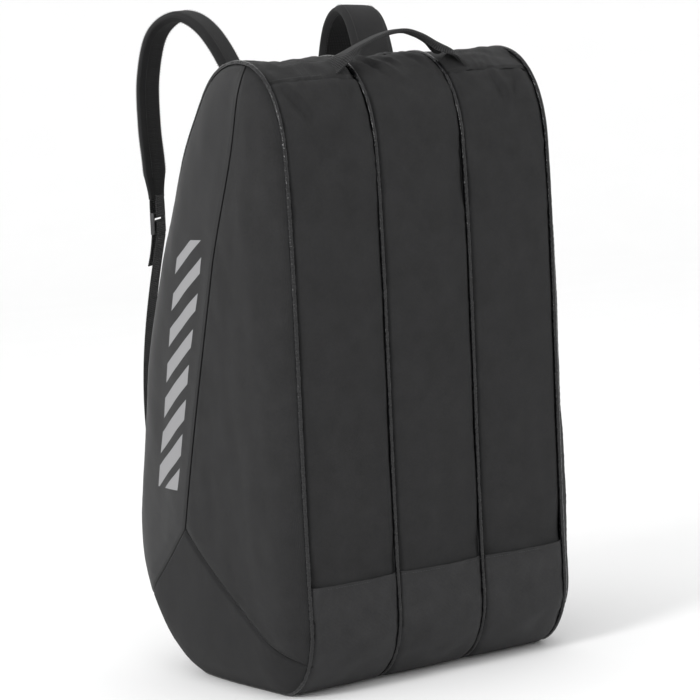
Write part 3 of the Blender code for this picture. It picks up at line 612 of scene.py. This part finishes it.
zip_sides = {"left": (1,), "middle": (-1, 1), "right": (-1,)}     # on which sides of a zip the mouth flap lies
for room, side in enumerate(rooms):
    if side != "middle":
        edge = zip_half(f"edge_{side}", room, zip_start, zip_end, -zip_sides[side][0], "bag", width=None)
        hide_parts(f"zip_edge_tape_{side}")
    for sign in zip_sides[side]:
        tag = f"{side}_{'a' if sign < 0 else 'b'}"
        body = f"flap_{side}"
        if side == "middle":
            body = "flap_middle_left" if sign < 0 else "flap_middle_right"
        inner_x = zip_line[room] + sign * 0.05
        top = zip_half(f"top_{tag}", room, zip_start, mouth_start, sign, "bag")
        foot = zip_half(f"foot_{tag}", room, mouth_end, zip_end, sign, "bag")
        zip_half(f"mouth_upper_{tag}", room, mouth_start, mouth_middle, sign, body, True)
        zip_half(f"mouth_lower_{tag}", room, mouth_middle, mouth_end, sign, body, False)
        if room != 1 or sign < 0:
            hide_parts(f"zip_top_tape_{side}")
            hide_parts(f"zip_foot_tape_{side}")


# Piping: a cord wrapped in glossy vinyl, caught in each of the four long seams. The vinyl is
# finely puckered along its length.

vinyl = Finish("piping_vinyl", 0.16, Specular_IOR_Level=0.36)
vinyl_cloud, vinyl_fine = vinyl.grain(60.0, 4.0), vinyl.grain(260.0, 3.0)
vinyl.tint((0.004, 0.004, 0.0045), (0.009, 0.009, 0.0095), vinyl_cloud)
vinyl.feed("Roughness", vinyl_cloud * 0.14 + 0.06)
vinyl.relief(vinyl_fine * 2.0 + vinyl_cloud * 2.0, 0.0007)
vinyl = vinyl.material


def ring_tube(name, centres, sides, outs, radius, finish, count=12):
    """A closed loop of round cord."""
    turn = np.arange(count) * 2 * pi / count
    rim = (sides[:, None, :] * np.cos(turn)[None, :, None] + outs[:, None, :] * np.sin(turn)[None, :, None])
    points = centres[:, None, :] + rim * np.asarray(radius)[:, None, None]
    total = len(centres)
    index = np.arange(total * count).reshape(total, count)
    nxt, beside = np.roll(index, -1, axis=0), np.roll(index, -1, axis=1)
    far = np.roll(nxt, -1, axis=1)
    faces = np.stack((index, beside, far, nxt), axis=-1).reshape(-1, 4)
    uv = np.zeros((total * count, 2))
    return body_from(name, points.reshape(-1, 3), faces.tolist(), uv, finish)


for name, sign, outer in (("outer_left", -1, True), ("inner_left", -1, False),
                          ("inner_right", 1, False), ("outer_right", 1, True)):
    s = np.linspace(0, girth, 620, endpoint=False)
    y, z = outline(s)
    x = sign * (outer_seam(y, z) if outer else np.full_like(s, inner_seam))
    depth = 0.0032 - 0.0026 * ease(z / 0.10)
    ny, nz = outward(s)
    centres = np.stack((x, y - ny * depth - front_y, z - nz * depth), axis=1)
    outs = np.stack((0 * s, ny, nz), axis=1)
    sides = np.tile((1.0, 0.0, 0.0), (len(s), 1))
    radius = 0.0028 + creases(s, 0 * s, 5, 0.012, 0.00012)
    cord = ring_tube(f"piping_cord_{name}", centres, sides, outs, radius, vinyl)
    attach(cord, "bag")
    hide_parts(f"piping_{name}")


# Side panels: each side is sewn from a broad panel by the front, a smoother coated band by the zip
# and a guard in the lower corner. The cloth bulges over the rackets and dips at every seam.

peak = np.array((0.217, 0.196))
band_seam = np.vstack((pulled((0.066, 0.765), (0.055, 0.690), (0.120, 0.520), peak, 90), peak))
near_seam = np.vstack((pulled(peak, (0.155, 0.140), (0.085, 0.090), (0.014, 0.044), 60), [(0.014, 0.044)]))
far_seam = np.vstack((pulled(peak, (0.250, 0.165), (0.300, 0.115), (0.355, 0.082), 50), [(0.355, 0.082)]))


def inset(s, depth):
    y, z = outline(s)
    ny, nz = outward(s)
    return np.stack((y - ny * depth, z - nz * depth), axis=-1)


def nearest(point):
    s = np.linspace(0, girth, 4000, endpoint=False)
    return float(s[np.argmin(np.hypot(*(inset(s, 0.003) - point).T))])


band_s, near_s, far_s = nearest(band_seam[0]), nearest(near_seam[-1]), nearest(far_seam[-1])


def resampled(path, count):
    reach = np.concatenate(([0.0], np.cumsum(np.hypot(*np.diff(path, axis=0).T))))
    marks = np.linspace(0, reach[-1], count)
    return np.stack([np.interp(marks, reach, path[:, k]) for k in range(2)], axis=1)


def depth_inside(flat):
    gaps = [np.hypot(flat[..., 0] - y, flat[..., 1] - z) for y, z in loop[::12]]
    return np.min(np.stack(gaps), axis=0)


def side_x(flat, depth):
    """Distance of a side from the middle of the bag."""
    rise = 1 - (1 - np.minimum(depth / 0.080, 1)) ** 3
    full = 0.034 - 0.014 * ease((flat[..., 1] - 0.52) / 0.20)
    return outer_seam(flat[..., 0], flat[..., 1]) + full * rise


def lens(name, sign, first, second, finish, seed, depth_of_folds, dip, rows=190, columns=56, thick=0.003):
    """A side piece between two edges that meet at both ends; dip is how it tucks in at its seams."""
    a, b = resampled(first, rows), resampled(second, rows)
    share = (1 - np.cos(np.linspace(0, pi, columns))) / 2
    share = 0.5 * share + 0.5 * np.linspace(0, 1, columns)
    flat = a[:, None, :] * (1 - share[None, :, None]) + b[:, None, :] * share[None, :, None]
    depth = depth_inside(flat)
    width = np.linalg.norm(b - a, axis=1)[:, None]
    from_a, from_b = share * width, (1 - share) * width
    beside = np.minimum(from_a, from_b)
    run = np.cumsum(np.full(rows, 0.0042))[:, None] + 0 * share
    rise = (creases(flat[..., 0], flat[..., 1] * 0.45, seed, 0.150, depth_of_folds)
            + creases(flat[..., 0], flat[..., 1] * 0.7, seed + 3, 0.050, depth_of_folds * 0.12)
            + gathers(beside, run, seed + 5, 0.023, 0.0008, 0.010)) * ease(beside / 0.02)
    rise -= dip[0] * np.exp(-(beside / dip[1]) ** 2)
    x = side_x(flat, depth) + rise
    outer = np.stack((sign * x, flat[..., 0] - front_y, flat[..., 1]), axis=-1)
    inner = np.stack((sign * (x - thick), flat[..., 0] - front_y, flat[..., 1]), axis=-1)
    return layered(name, outer, inner, flat, finish)


corner_cloth = cloth_finish("corner_cloth", (0.0150, 0.0150, 0.0155), 0.82, thread=0.0014)
band_cloth = Finish("band_cloth", 0.56, Specular_IOR_Level=0.30)
band_uv = band_cloth.node("ShaderNodeTexCoord", out=2)
band_split = band_cloth.node("ShaderNodeSeparateXYZ", None, {0: band_uv})
band_y, band_z = band_split, Feed(band_cloth.tree, band_split.socket.node.outputs[1])
band_cloud = band_cloth.node("ShaderNodeTexNoise", None, {"Vector": band_uv, "Scale": 34.0, "Detail": 5.0})
band_fleck = band_cloth.node("ShaderNodeTexNoise", None, {"Vector": band_uv, "Scale": 500.0, "Detail": 2.0})
# a plain printed mark: slanted bars that shorten upwards, between two lines of the band
bar_middle = 0.2507 - (band_z - 0.2435) * 0.31
bar_across = (band_y - bar_middle).size()
bar_slant = band_z + (band_y - bar_middle) * 0.9
bar_cycle = (bar_slant * (2 * pi / 0.045)).wave()
inside_mark = (band_z > 0.245) * (band_z < 0.560) * (bar_across < 0.026)
printed = inside_mark * (bar_cycle > (band_z * 2.4 - 1.10))
band_tone = band_cloth.node("ShaderNodeMix", {"data_type": "RGBA"},
                            {0: band_cloud * 0.7 + band_fleck * 0.3,
                             6: (0.0085, 0.0085, 0.0088, 1), 7: (0.0215, 0.0215, 0.0222, 1)}, out=2)
band_cloth.feed("Base Color", band_cloth.node("ShaderNodeMix", {"data_type": "RGBA"},
                                              {0: printed, 6: band_tone, 7: (0.24, 0.24, 0.245, 1)}, out=2))
band_cloth.feed("Roughness", band_cloud * 0.12 + 0.50)
band_cloth.relief(band_cloud * 2.0 + band_fleck * 0.5 + printed * 0.4, 0.0002)
band_cloth = band_cloth.material


def rim_path(start, end, count=400):
    return inset(np.linspace(start, end, count), 0.0030)


for side, sign in (("left", -1), ("right", 1)):
    inner_seams = np.vstack((near_seam[::-1], band_seam[::-1][1:]))
    main = lens(f"side_main_cloth_{side}", sign, rim_path(near_s, band_s), inner_seams,
                woven, 101, 0.0034, (0.0036, 0.0045))
    band_piece = lens(f"side_band_cloth_{side}", sign, np.vstack((band_seam, far_seam[1:])),
                      rim_path(band_s, far_s), band_cloth, 111, 0.0020, (0.0016, 0.0020))
    corner = lens(f"side_corner_cloth_{side}", sign, np.vstack((far_seam[::-1], near_seam[1:])),
                  rim_path(far_s, girth + near_s), corner_cloth, 121, 0.0016, (0.0024, 0.0030), rows=150)
    for part, piece, slot in (("main", main, "woven_cloth"), ("band", band_piece, "coated_cloth"),
                              ("corner", corner, "corner_cloth")):
        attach(piece, "bag")
        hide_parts(f"side_{part}_{side}")
    for label, seam, shift in (("band", band_seam, 0.0035), ("near", near_seam, -0.0035),
                               ("far", far_seam, -0.0035)):
        steps = np.gradient(seam, axis=0)
        normal = np.stack((-steps[:, 1], steps[:, 0]), axis=1) / np.linalg.norm(steps, axis=1)[:, None]
        flat = (seam + normal * shift)[3:-3]
        x = side_x(flat, depth_inside(flat)) - 0.0003
        path = np.stack((sign * x, flat[:, 0] - front_y, flat[:, 1]), axis=1)
        stitched(f"side_stitches_{label}_{side}", path, np.tile((sign, 0.0, 0.0), (len(path), 1)), "bag")


# Dividers: thin lining cloth that hangs between the rooms, sewn into the inner seams. It shows only
# when a mouth is open.

lining = cloth_finish("lining_cloth", (0.040, 0.040, 0.042), 0.85, thread=0.0013)
for side, sign in (("left", -1), ("right", 1)):
    s = np.linspace(0, girth, 161)
    rim_points = inset(s, 0.0075)
    centre = np.array((0.165, 0.36))
    share = np.linspace(0.0, 1, 24)[1:]
    flat = centre + (rim_points[:, None, :] - centre) * share[None, :, None]
    sag = creases(flat[..., 0], flat[..., 1], 131, 0.20, 0.004) * (1 - share ** 3)
    hung_x = sign * (inner_seam + sag + 0.0007)
    front = np.stack((hung_x, flat[..., 0] - front_y, flat[..., 1]), axis=-1)[:-1]
    back = front - np.array((sign * 0.0014, 0, 0))
    rows, columns = front.shape[:2]
    index = np.arange(rows * columns).reshape(rows, columns)
    after = np.roll(index, -1, axis=0)
    quads = np.stack((index[:, :-1], after[:, :-1], after[:, 1:], index[:, 1:]), axis=-1).reshape(-1, 4)
    total = rows * columns
    hems = np.stack((index[:, -1], after[:, -1], after[:, -1] + total, index[:, -1] + total), axis=-1)
    points = np.concatenate((front.reshape(-1, 3), back.reshape(-1, 3)))
    fill = [list(index[:, 0]), list(index[::-1, 0] + total)]
    faces = quads.tolist() + (quads[:, ::-1] + total).tolist() + hems.tolist() + fill
    uv = np.concatenate((flat[:-1].reshape(-1, 2), flat[:-1].reshape(-1, 2)))
    piece = body_from(f"lining_sheet_{side}", points, faces, uv, lining)
    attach(piece, "bag")
    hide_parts(f"divider_{side}")


# Zip sliders and pullers: plated metal sliders with a wire link, each with a dark moulded pull.

metal = Finish("zip_metal", 0.28, Metallic=1.0)
metal_grain = metal.grain(700.0, 3.0)
metal.tint((0.34, 0.34, 0.35), (0.52, 0.52, 0.53), metal_grain)
metal.feed("Roughness", metal_grain * 0.2 + 0.18)
metal = metal.material
moulded = Finish("moulded_plastic", 0.40, Specular_IOR_Level=0.5)
moulded_grain = moulded.grain(480.0, 3.0)
moulded.tint((0.014, 0.014, 0.015), (0.026, 0.026, 0.027), moulded_grain)
moulded.feed("Roughness", moulded_grain * 0.2 + 0.32)
moulded.relief(moulded_grain, 0.0001)
moulded = moulded.material


def eased(node, width, body, paint):
    """A copy of a hard part with its edges rounded."""
    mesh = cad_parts[node].data.copy()
    shape = bmesh.new()
    shape.from_mesh(mesh)
    bmesh.ops.remove_doubles(shape, verts=shape.verts, dist=0.00002)
    bmesh.ops.dissolve_limit(shape, angle_limit=radians(1), verts=shape.verts, edges=shape.edges)
    shape.to_mesh(mesh)
    shape.free()
    mesh.materials.clear()
    mesh.materials.append(paint)
    piece = bpy.data.objects.new(node + "_detail", mesh)
    bpy.context.scene.collection.objects.link(piece)
    bevel = piece.modifiers.new("edge", "BEVEL")
    bevel.width, bevel.segments, bevel.limit_method = width, 2, "ANGLE"
    bevel.angle_limit = radians(40)
    bpy.context.view_layer.update()
    seen = piece.evaluated_get(bpy.context.evaluated_depsgraph_get())
    plain = bpy.data.meshes.new_from_object(seen)
    plain.shade_smooth()
    plain.set_sharp_from_angle(angle=radians(35))
    piece.modifiers.clear()
    piece.data = plain
    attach(piece, body)
    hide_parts(node)
    return piece


for side in rooms:
    eased(f"zip_slider_{side}", 0.0004, f"slider_{side}", metal)
    pull = eased(f"zip_puller_{side}", 0.0005, f"puller_{side}", metal)
    pull.data.materials.append(moulded)
    low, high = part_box(f"zip_puller_{side}")
    reach = high.z - low.z
    for face in pull.data.polygons:
        if face.center.z < high.z - 0.42 * reach:
            face.material_index = 1


# Grab handle: ribbed webbing sewn flat to the top at both ends, lifted off and folded narrow
# between them. Each end bends where the webbing leaves the cloth.

webbing = Finish("webbing", 0.76, Sheen_Weight=0.05, Sheen_Roughness=0.5, Specular_IOR_Level=0.3)
web_split = webbing.node("ShaderNodeSeparateXYZ", None, {0: webbing.node("ShaderNodeTexCoord", out=2)})
web_u, web_v = web_split, Feed(webbing.tree, web_split.socket.node.outputs[1])
web_ribs = (web_v * (2 * pi / 0.0026)).wave()
web_cords = (web_u * (2 * pi / 0.0030) + web_ribs * 0.5).wave()
web_cloud = webbing.grain(90.0, 4.0)
webbing.tint((0.002, 0.002, 0.0022), (0.034, 0.034, 0.0350), web_cloud * 0.5 + web_ribs * 0.35 + 0.2)
webbing.relief(web_ribs + web_cords * 0.5, 0.0005)
webbing = webbing.material


def curve_through(knots, count):
    knots = [np.array(k, float) for k in knots]
    knots = [2 * knots[0] - knots[1]] + knots + [2 * knots[-1] - knots[-2]]
    run = []
    for t in np.linspace(0, len(knots) - 3, count):
        k = min(int(t), len(knots) - 4)
        a, b, c, d = knots[k:k + 4]
        u = t - k
        run.append(0.5 * (2 * b + (c - a) * u + (2 * a - 5 * b + 4 * c - d) * u ** 2
                          + (3 * b - a - 3 * c + d) * u ** 3))
    return np.array(run)


def band(name, path, sides, ups, profile, finish):
    """A strap swept along a path; profile gives (across, up) points per row, round the section."""
    rows, count = len(path), len(profile(0.0))
    points = np.empty((rows, count, 3))
    uv = np.empty((rows, count, 2))
    reach = np.concatenate(([0.0], np.cumsum(np.linalg.norm(np.diff(path, axis=0), axis=1))))
    for k in range(rows):
        section = np.array(profile(k / (rows - 1)))
        points[k] = path[k] + sides[k] * section[:, :1] + ups[k] * section[:, 1:2]
        uv[k, :, 0] = section[:, 0]
        uv[k, :, 1] = reach[k]
    index = np.arange(rows * count).reshape(rows, count)
    beside = np.roll(index, -1, axis=1)
    faces = np.stack((index[:-1], beside[:-1], beside[1:], index[1:]), axis=-1).reshape(-1, 4).tolist()
    faces += [list(index[0]), list(index[-1][::-1])]
    return body_from(name, points.reshape(-1, 3), faces, uv.reshape(-1, 2), finish)


def flat_section(width, thick, fold=0.0, count=7):
    """Outline of webbing: open flat, or with both edges turned under."""
    across = np.linspace(0, 1, count)
    turn = fold * radians(172) * ease((across - 0.40) / 0.26)
    step = width / 2 / (count - 1)
    x = np.concatenate(([0.0], np.cumsum(np.cos((turn[1:] + turn[:-1]) / 2)))) * step
    y = np.concatenate(([0.0], np.cumsum(np.sin((turn[1:] + turn[:-1]) / 2)))) * -step
    out_x, out_y = np.sin(turn) * thick / 2, np.cos(turn) * thick / 2
    upper = np.stack((x + out_x, y + out_y), axis=1)
    lower = np.stack((x - out_x, y - out_y), axis=1)
    mirror = np.array((-1.0, 1.0))
    return np.concatenate((upper[:0:-1] * mirror, upper, lower[:0:-1], lower * mirror))


axle_y, axle_z = 0.030 - front_y, 0.764
on_brow = np.linspace(top_seam - 0.02, crown[0] + corner_at[4], 400)
sewn_s = float(np.interp(0.034, outline(on_brow)[0], on_brow))
sewn_y, sewn_z = (float(v) for v in outline(sewn_s))
cloth_y = sewn_y - front_y
grip = curve_through([
    (-0.124, cloth_y, sewn_z + 0.0016), (-0.110, cloth_y, sewn_z + 0.0018),
    (-0.093, cloth_y, sewn_z + 0.0032), (-0.078, axle_y, axle_z + 0.0060),
    (-0.048, axle_y + 0.003, axle_z + 0.0185),
    (-0.016, axle_y + 0.005, axle_z + 0.0290), (0.014, axle_y + 0.006, axle_z + 0.0330),
    (0.038, axle_y + 0.005, axle_z + 0.0265), (0.060, axle_y + 0.002, axle_z + 0.0140),
    (0.081, axle_y, axle_z + 0.0040), (0.095, cloth_y, sewn_z + 0.0022),
    (0.110, cloth_y, sewn_z + 0.0016)], 140)


def grip_section(x):
    fold = float(ease((0.096 - abs(x)) / 0.055))
    return flat_section(0.036, 0.0020, fold, 15)


steps = np.gradient(grip, axis=0)
steps /= np.linalg.norm(steps, axis=1)[:, None]
ny, nz = (float(v) for v in outward(sewn_s))
lean = ease((0.112 - np.abs(grip[:, 0])) / 0.05)
flat_side = np.array((0.0, nz, -ny))
sides = flat_side * (1 - lean)[:, None] + np.array((0.0, 1.0, 0.0)) * lean[:, None]
sides -= steps * np.sum(sides * steps, axis=1)[:, None]
sides /= np.linalg.norm(sides, axis=1)[:, None]
ups = np.cross(steps, sides)
half = len(grip) // 2
ups *= 1 if ups[half][2] > 0 else -1
for side, part, node, body_x in (("left", slice(0, half + 1), "handle_anchor_left", -0.082),
                                 ("right", slice(half, None), "handle_anchor_right", 0.082)):
    xs = grip[part][:, 0]
    piece = band(f"handle_webbing_{side}", grip[part], sides[part], ups[part],
                 lambda share, xs=xs: grip_section(xs[int(round(share * (len(xs) - 1)))]), webbing)
    body_x * 1.12
    body_x * 0.84
    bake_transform(piece)
    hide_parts(node)
    if side == "left":
        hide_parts("grab_handle")


# Shoulder straps: a foam pad in cloth with bound edges, a mesh lining inside, and webbing through a
# moulded ladder lock to a tab in the lower corner. Each strap turns about the line between its ends.

strap_cloth = cloth_finish("strap_cloth", (0.0175, 0.0175, 0.0180), 0.80, thread=0.0012)
mesh_cloth = cloth_finish("strap_mesh", (0.0022, 0.0022, 0.0024), 0.92, thread=0.0024, weave=0.0005,
                          sheen=0.05)
pad_knots = [(0.000, 0.668), (0.004, 0.700), (0.024, 0.762), (0.064, 0.816), (0.111, 0.836),
             (0.158, 0.816), (0.183, 0.762), (0.190, 0.700), (0.189, 0.652), (0.190, 0.606)]
# side, distance from the middle, splay, swing outwards, and share of the full reach
hang = {"left": (-1, 0.0877, radians(27), radians(-9.5), 0.75),
        "right": (1, 0.1075, radians(-3), radians(-16), 0.92)}


def pad_section(width, thick, count=9):
    """A cushion outline: full in the middle, bound beads at both edges."""
    turn = np.linspace(0, pi, 7)
    bead = 0.0030
    right = [(width / 2 - bead + bead * sin(t), bead * cos(t)) for t in turn]
    left = [(-x, -y) for x, y in right]
    across = np.linspace(-width / 2 + 2.3 * bead, width / 2 - 2.3 * bead, count)
    crown_of = thick / 2 * (1 - np.abs(across / (width / 2)) ** 5) ** 0.5
    top = [(x, y) for x, y in zip(across, crown_of)]
    bottom = [(x, -y) for x, y in zip(across[::-1], crown_of[::-1])]
    return np.array(top + right + bottom + left)


def flat_web(share):
    """Section of the 25 mm strap webbing, the same all along."""
    return flat_section(0.025, 0.0016)


def on_back(x, s, lift):
    """Points on the back, raised off the cloth."""
    y, z = outline(s)
    ny, nz = outward(s)
    return [(x, float(v), float(w)) for v, w in zip(y - front_y + ny * lift, z + nz * lift)]


for side, (sign, root_x, splay, swing, reach_share) in hang.items():
    room = 0 if side == "left" else 2
    plane = Matrix.Translation((sign * root_x, 0.238 - front_y, 0)) @ Matrix.Rotation(splay * -sign, 4, "Z")
    pin_top = plane @ Vector((0, 0, 0.668))
    pin_foot = plane @ Vector((0, 0.153 / cos(splay), 0.128))
    line = (pin_foot - pin_top).normalized()
    base_across = np.array((plane.to_3x3() @ Vector((1, 0, 0))).normalized())
    to_pin, from_pin = Matrix.Translation(pin_top), Matrix.Translation(-pin_top)
    turned = to_pin @ Matrix.Rotation(-sign * swing, 4, line) @ from_pin @ plane
    across = np.array((turned.to_3x3() @ Vector((1, 0, 0))).normalized())

    def hung(knots, count, extra):
        points = list(extra)
        for run, high in knots:
            points.append(tuple(turned @ Vector((0, run * reach_share, high))))
        return curve_through(points, count)

    def frames(path, first_across=None):
        runs = np.gradient(path, axis=0)
        runs /= np.linalg.norm(runs, axis=1)[:, None]
        wide = np.tile(across, (len(path), 1))
        if first_across is not None:
            share = ease(np.linspace(0, 6, len(path)))[:, None]
            wide = first_across * (1 - share) + wide * share
        wide -= runs * np.sum(wide * runs, axis=1)[:, None]
        wide /= np.linalg.norm(wide, axis=1)[:, None]
        return wide, np.cross(runs, wide)

    # the pad starts on the cloth below its hinge line and rises off it
    start = on_back(pin_top.x, corner_at[5] + np.array([0.150, 0.128, 0.108]), 0.004)
    pad_path = hung(pad_knots, 150, start[:2] + [tuple(plane @ Vector((0, -0.001, 0.650)))])
    wide, up = frames(pad_path, base_across)
    travelled = np.linspace(0, 1, 150)

    def pad_shape(share):
        grow = float(ease((share - 0.10) / 0.14))
        taper = float(ease((share - 0.93) / 0.07))
        width = 0.043 + 0.014 * grow - 0.018 * taper
        thick = 0.0070 + 0.0065 * grow - 0.0050 * taper
        return pad_section(width, thick)

    pad = band(f"strap_pad_cloth_{side}", pad_path, wide, up, pad_shape, strap_cloth)
    pad.data.materials.append(mesh_cloth)
    per_row = len(pad_shape(0.0))
    towards_bag = np.mean(pad_path[40:110], axis=0)
    outer_sign = 1 if np.dot(up[75], pad_path[75] - towards_bag) > 0 else -1
    for k, face in enumerate(pad.data.polygons):
        place = k % per_row
        inside = (place < 8) if outer_sign < 0 else (15 <= place < 24)
        if inside and k < per_row * 149:
            face.material_index = 1
    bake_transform(pad)
    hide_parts(f"strap_pad_{side}", f"strap_root_{side}")
    for edge in (-1, 1):
        taper_line = np.array([pad_shape(t)[:, 0].max() - 0.0078 for t in travelled])
        crown_line = np.array([pad_shape(t)[2, 1] for t in travelled]) * 1.02
        for face_sign in (1, -1):
            seam_path = pad_path + wide * (edge * taper_line)[:, None]
            seam_path += up * (face_sign * crown_line)[:, None]
            stitched(f"strap_stitches_{side}_{edge + 1}_{face_sign + 1}", seam_path[24:-8],
                     face_sign * up[24:-8], f"strap_{side}")

    # the lower webbing, from the lock to the tab, and the tab itself
    lock_top = turned @ Vector((0, 0.191 * reach_share, 0.588))
    lock_low = turned @ Vector((0, 0.193 * reach_share, 0.560))
    down = (lock_low - lock_top).normalized()
    lock_out = Vector(across).cross(down).normalized()
    lock = Matrix.Translation(lock_top) @ Matrix((Vector(across), down, lock_out)).transposed().to_4x4()
    tab_points = on_back(pin_foot.x, nearest(np.array((0.372, 0.104))) + np.array([0.0, 0.030]), 0.003)
    web_start = np.array(lock @ Vector((0, 0.0305, -0.0034)))
    away = np.array(turned.to_3x3() @ Vector((0, 0.027, 0)))
    t = np.linspace(0, 1, 120)[:, None]
    web_path = web_start * (1 - t) + np.array(pin_foot) * t + away * np.sin(pi * t)
    web_path = np.vstack((web_path[:-1], curve_through([pin_foot, *tab_points], 24)))
    web_wide, web_up = frames(web_path)
    end = np.array(pin_foot)
    for label, part, bodies, first, last in (
            ("high", slice(0, 29), (f"lock_{side}", f"strap_{side}"), web_path[0], web_path[26]),
            ("low", slice(28, None), (f"strap_{side}", "bag"), end + (0, 0, 0.030), end - (0, 0, 0.002))):
        web = band(f"strap_web_{label}_{side}", web_path[part], web_wide[part], web_up[part],
                   flat_web, webbing)
        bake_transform(web)
        if label == "low":
            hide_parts(f"strap_webbing_{side}", f"strap_tab_{side}")

    # the lock's sewn loop, the lock, and the loose end that runs back under it
    bend = [(0, -0.0240, 0.0030), (0, -0.0130, 0.0040), (0, 0.0030, 0.0040), (0, 0.0056, 0.0031),
            (0, 0.0068, 0.0), (0, 0.0056, -0.0031), (0, 0.0030, -0.0040), (0, -0.0130, -0.0040),
            (0, -0.0240, -0.0030)]
    loop_path = curve_through([tuple(lock @ Vector(p)) for p in bend], 60)
    lock_loop = band(f"lock_loop_web_{side}", loop_path, *frames(loop_path), flat_web, webbing)
    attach(lock_loop, f"strap_{side}")
    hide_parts(f"lock_loop_{side}")
    tail = [(0, 0.0300, -0.0034), (0, 0.0140, -0.0034), (0, 0.0118, -0.0028), (0, 0.0108, 0.0),
            (0, 0.0118, 0.0028), (0, 0.0140, 0.0034), (0, 0.0300, 0.0034), (0, 0.0520, 0.0066),
            (0, 0.0700, 0.0110)]
    tail_path = curve_through([tuple(lock @ Vector(p)) for p in tail], 70)
    loose = band(f"loose_web_{side}", tail_path, *frames(tail_path), flat_web, webbing)
    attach(loose, f"lock_{side}")
    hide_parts(f"webbing_wrap_{side}")
    eased(f"ladder_lock_{side}", 0.0007, f"lock_{side}", moulded)


# Floor, light and camera: a plain pale sweep, a soft light from the left and a weaker one from the
# right of the front, seen from the front left.

floor_finish = Finish("pale_floor", 0.9)
floor_grain = floor_finish.grain(4.0)
floor_finish.tint((0.93, 0.93, 0.93), (0.95, 0.95, 0.95), floor_grain)
reach = 14.0
floor_mesh = bpy.data.meshes.new("floor")
cove = [(6.0 + 3 * sin(t), 3 - 3 * cos(t)) for t in np.linspace(0.1, pi / 2, 12)]
profile = [(-reach, 0.0), (6.0, 0.0), *cove, (9.0, 12.0)]
floor_points = [(x, y, z) for y, z in profile for x in (-reach, reach)]
floor_faces = [(2 * k, 2 * k + 1, 2 * k + 3, 2 * k + 2) for k in range(len(profile) - 1)]
floor_mesh.from_pydata(floor_points, [], floor_faces)
floor_mesh.materials.append(floor_finish.material)
floor_mesh.shade_smooth()
floor = bpy.data.objects.new("floor", floor_mesh)
floor.rotation_euler = (0, 0, radians(-32.3))
bpy.context.scene.collection.objects.link(floor)

scene = bpy.context.scene
scene.view_settings.view_transform = "Standard"
scene.view_settings.look = "None"
world = bpy.data.worlds.new("studio")
world.use_nodes = True
world.node_tree.nodes["Background"].inputs["Color"].default_value = (1.0, 1.0, 1.0, 1.0)
world.node_tree.nodes["Background"].inputs["Strength"].default_value = 1.04
scene.world = world


def soft_light(name, place, target, size, power):
    lamp = bpy.data.lights.new(name, "AREA")
    lamp.shape, lamp.size, lamp.size_y, lamp.energy = "RECTANGLE", size[0], size[1], power
    item = bpy.data.objects.new(name, lamp)
    item.location = place
    item.rotation_euler = (Vector(target) - Vector(place)).to_track_quat("-Z", "Y").to_euler()
    scene.collection.objects.link(item)


soft_light("key", (-3.2, -1.0, 2.2), (0, 0, 0.4), (0.9, 0.9), 66)
soft_light("fill", (2.2, -2.8, 1.8), (0, 0, 0.4), (2.0, 2.0), 10)

eye, aim, roll = Vector((-1.6436, -2.5764, 0.7315)), Vector((-0.018, -0.005, 0.401)), radians(-3.8)
ahead = (aim - eye).normalized()
level = ahead.cross(Vector((0, 0, 1))).normalized()
over = level.cross(ahead)
right = level * cos(roll) + over * sin(roll)
upright = over * cos(roll) - level * sin(roll)
lens_data = bpy.data.cameras.new("camera")
lens_data.lens, lens_data.sensor_width = 124.2, 36.0
lens_data.clip_end = 60.0
camera = bpy.data.objects.new("camera", lens_data)
camera.matrix_world = Matrix.Translation(eye) @ Matrix((right, upright, -ahead)).transposed().to_4x4()
scene.collection.objects.link(camera)
scene.camera = camera
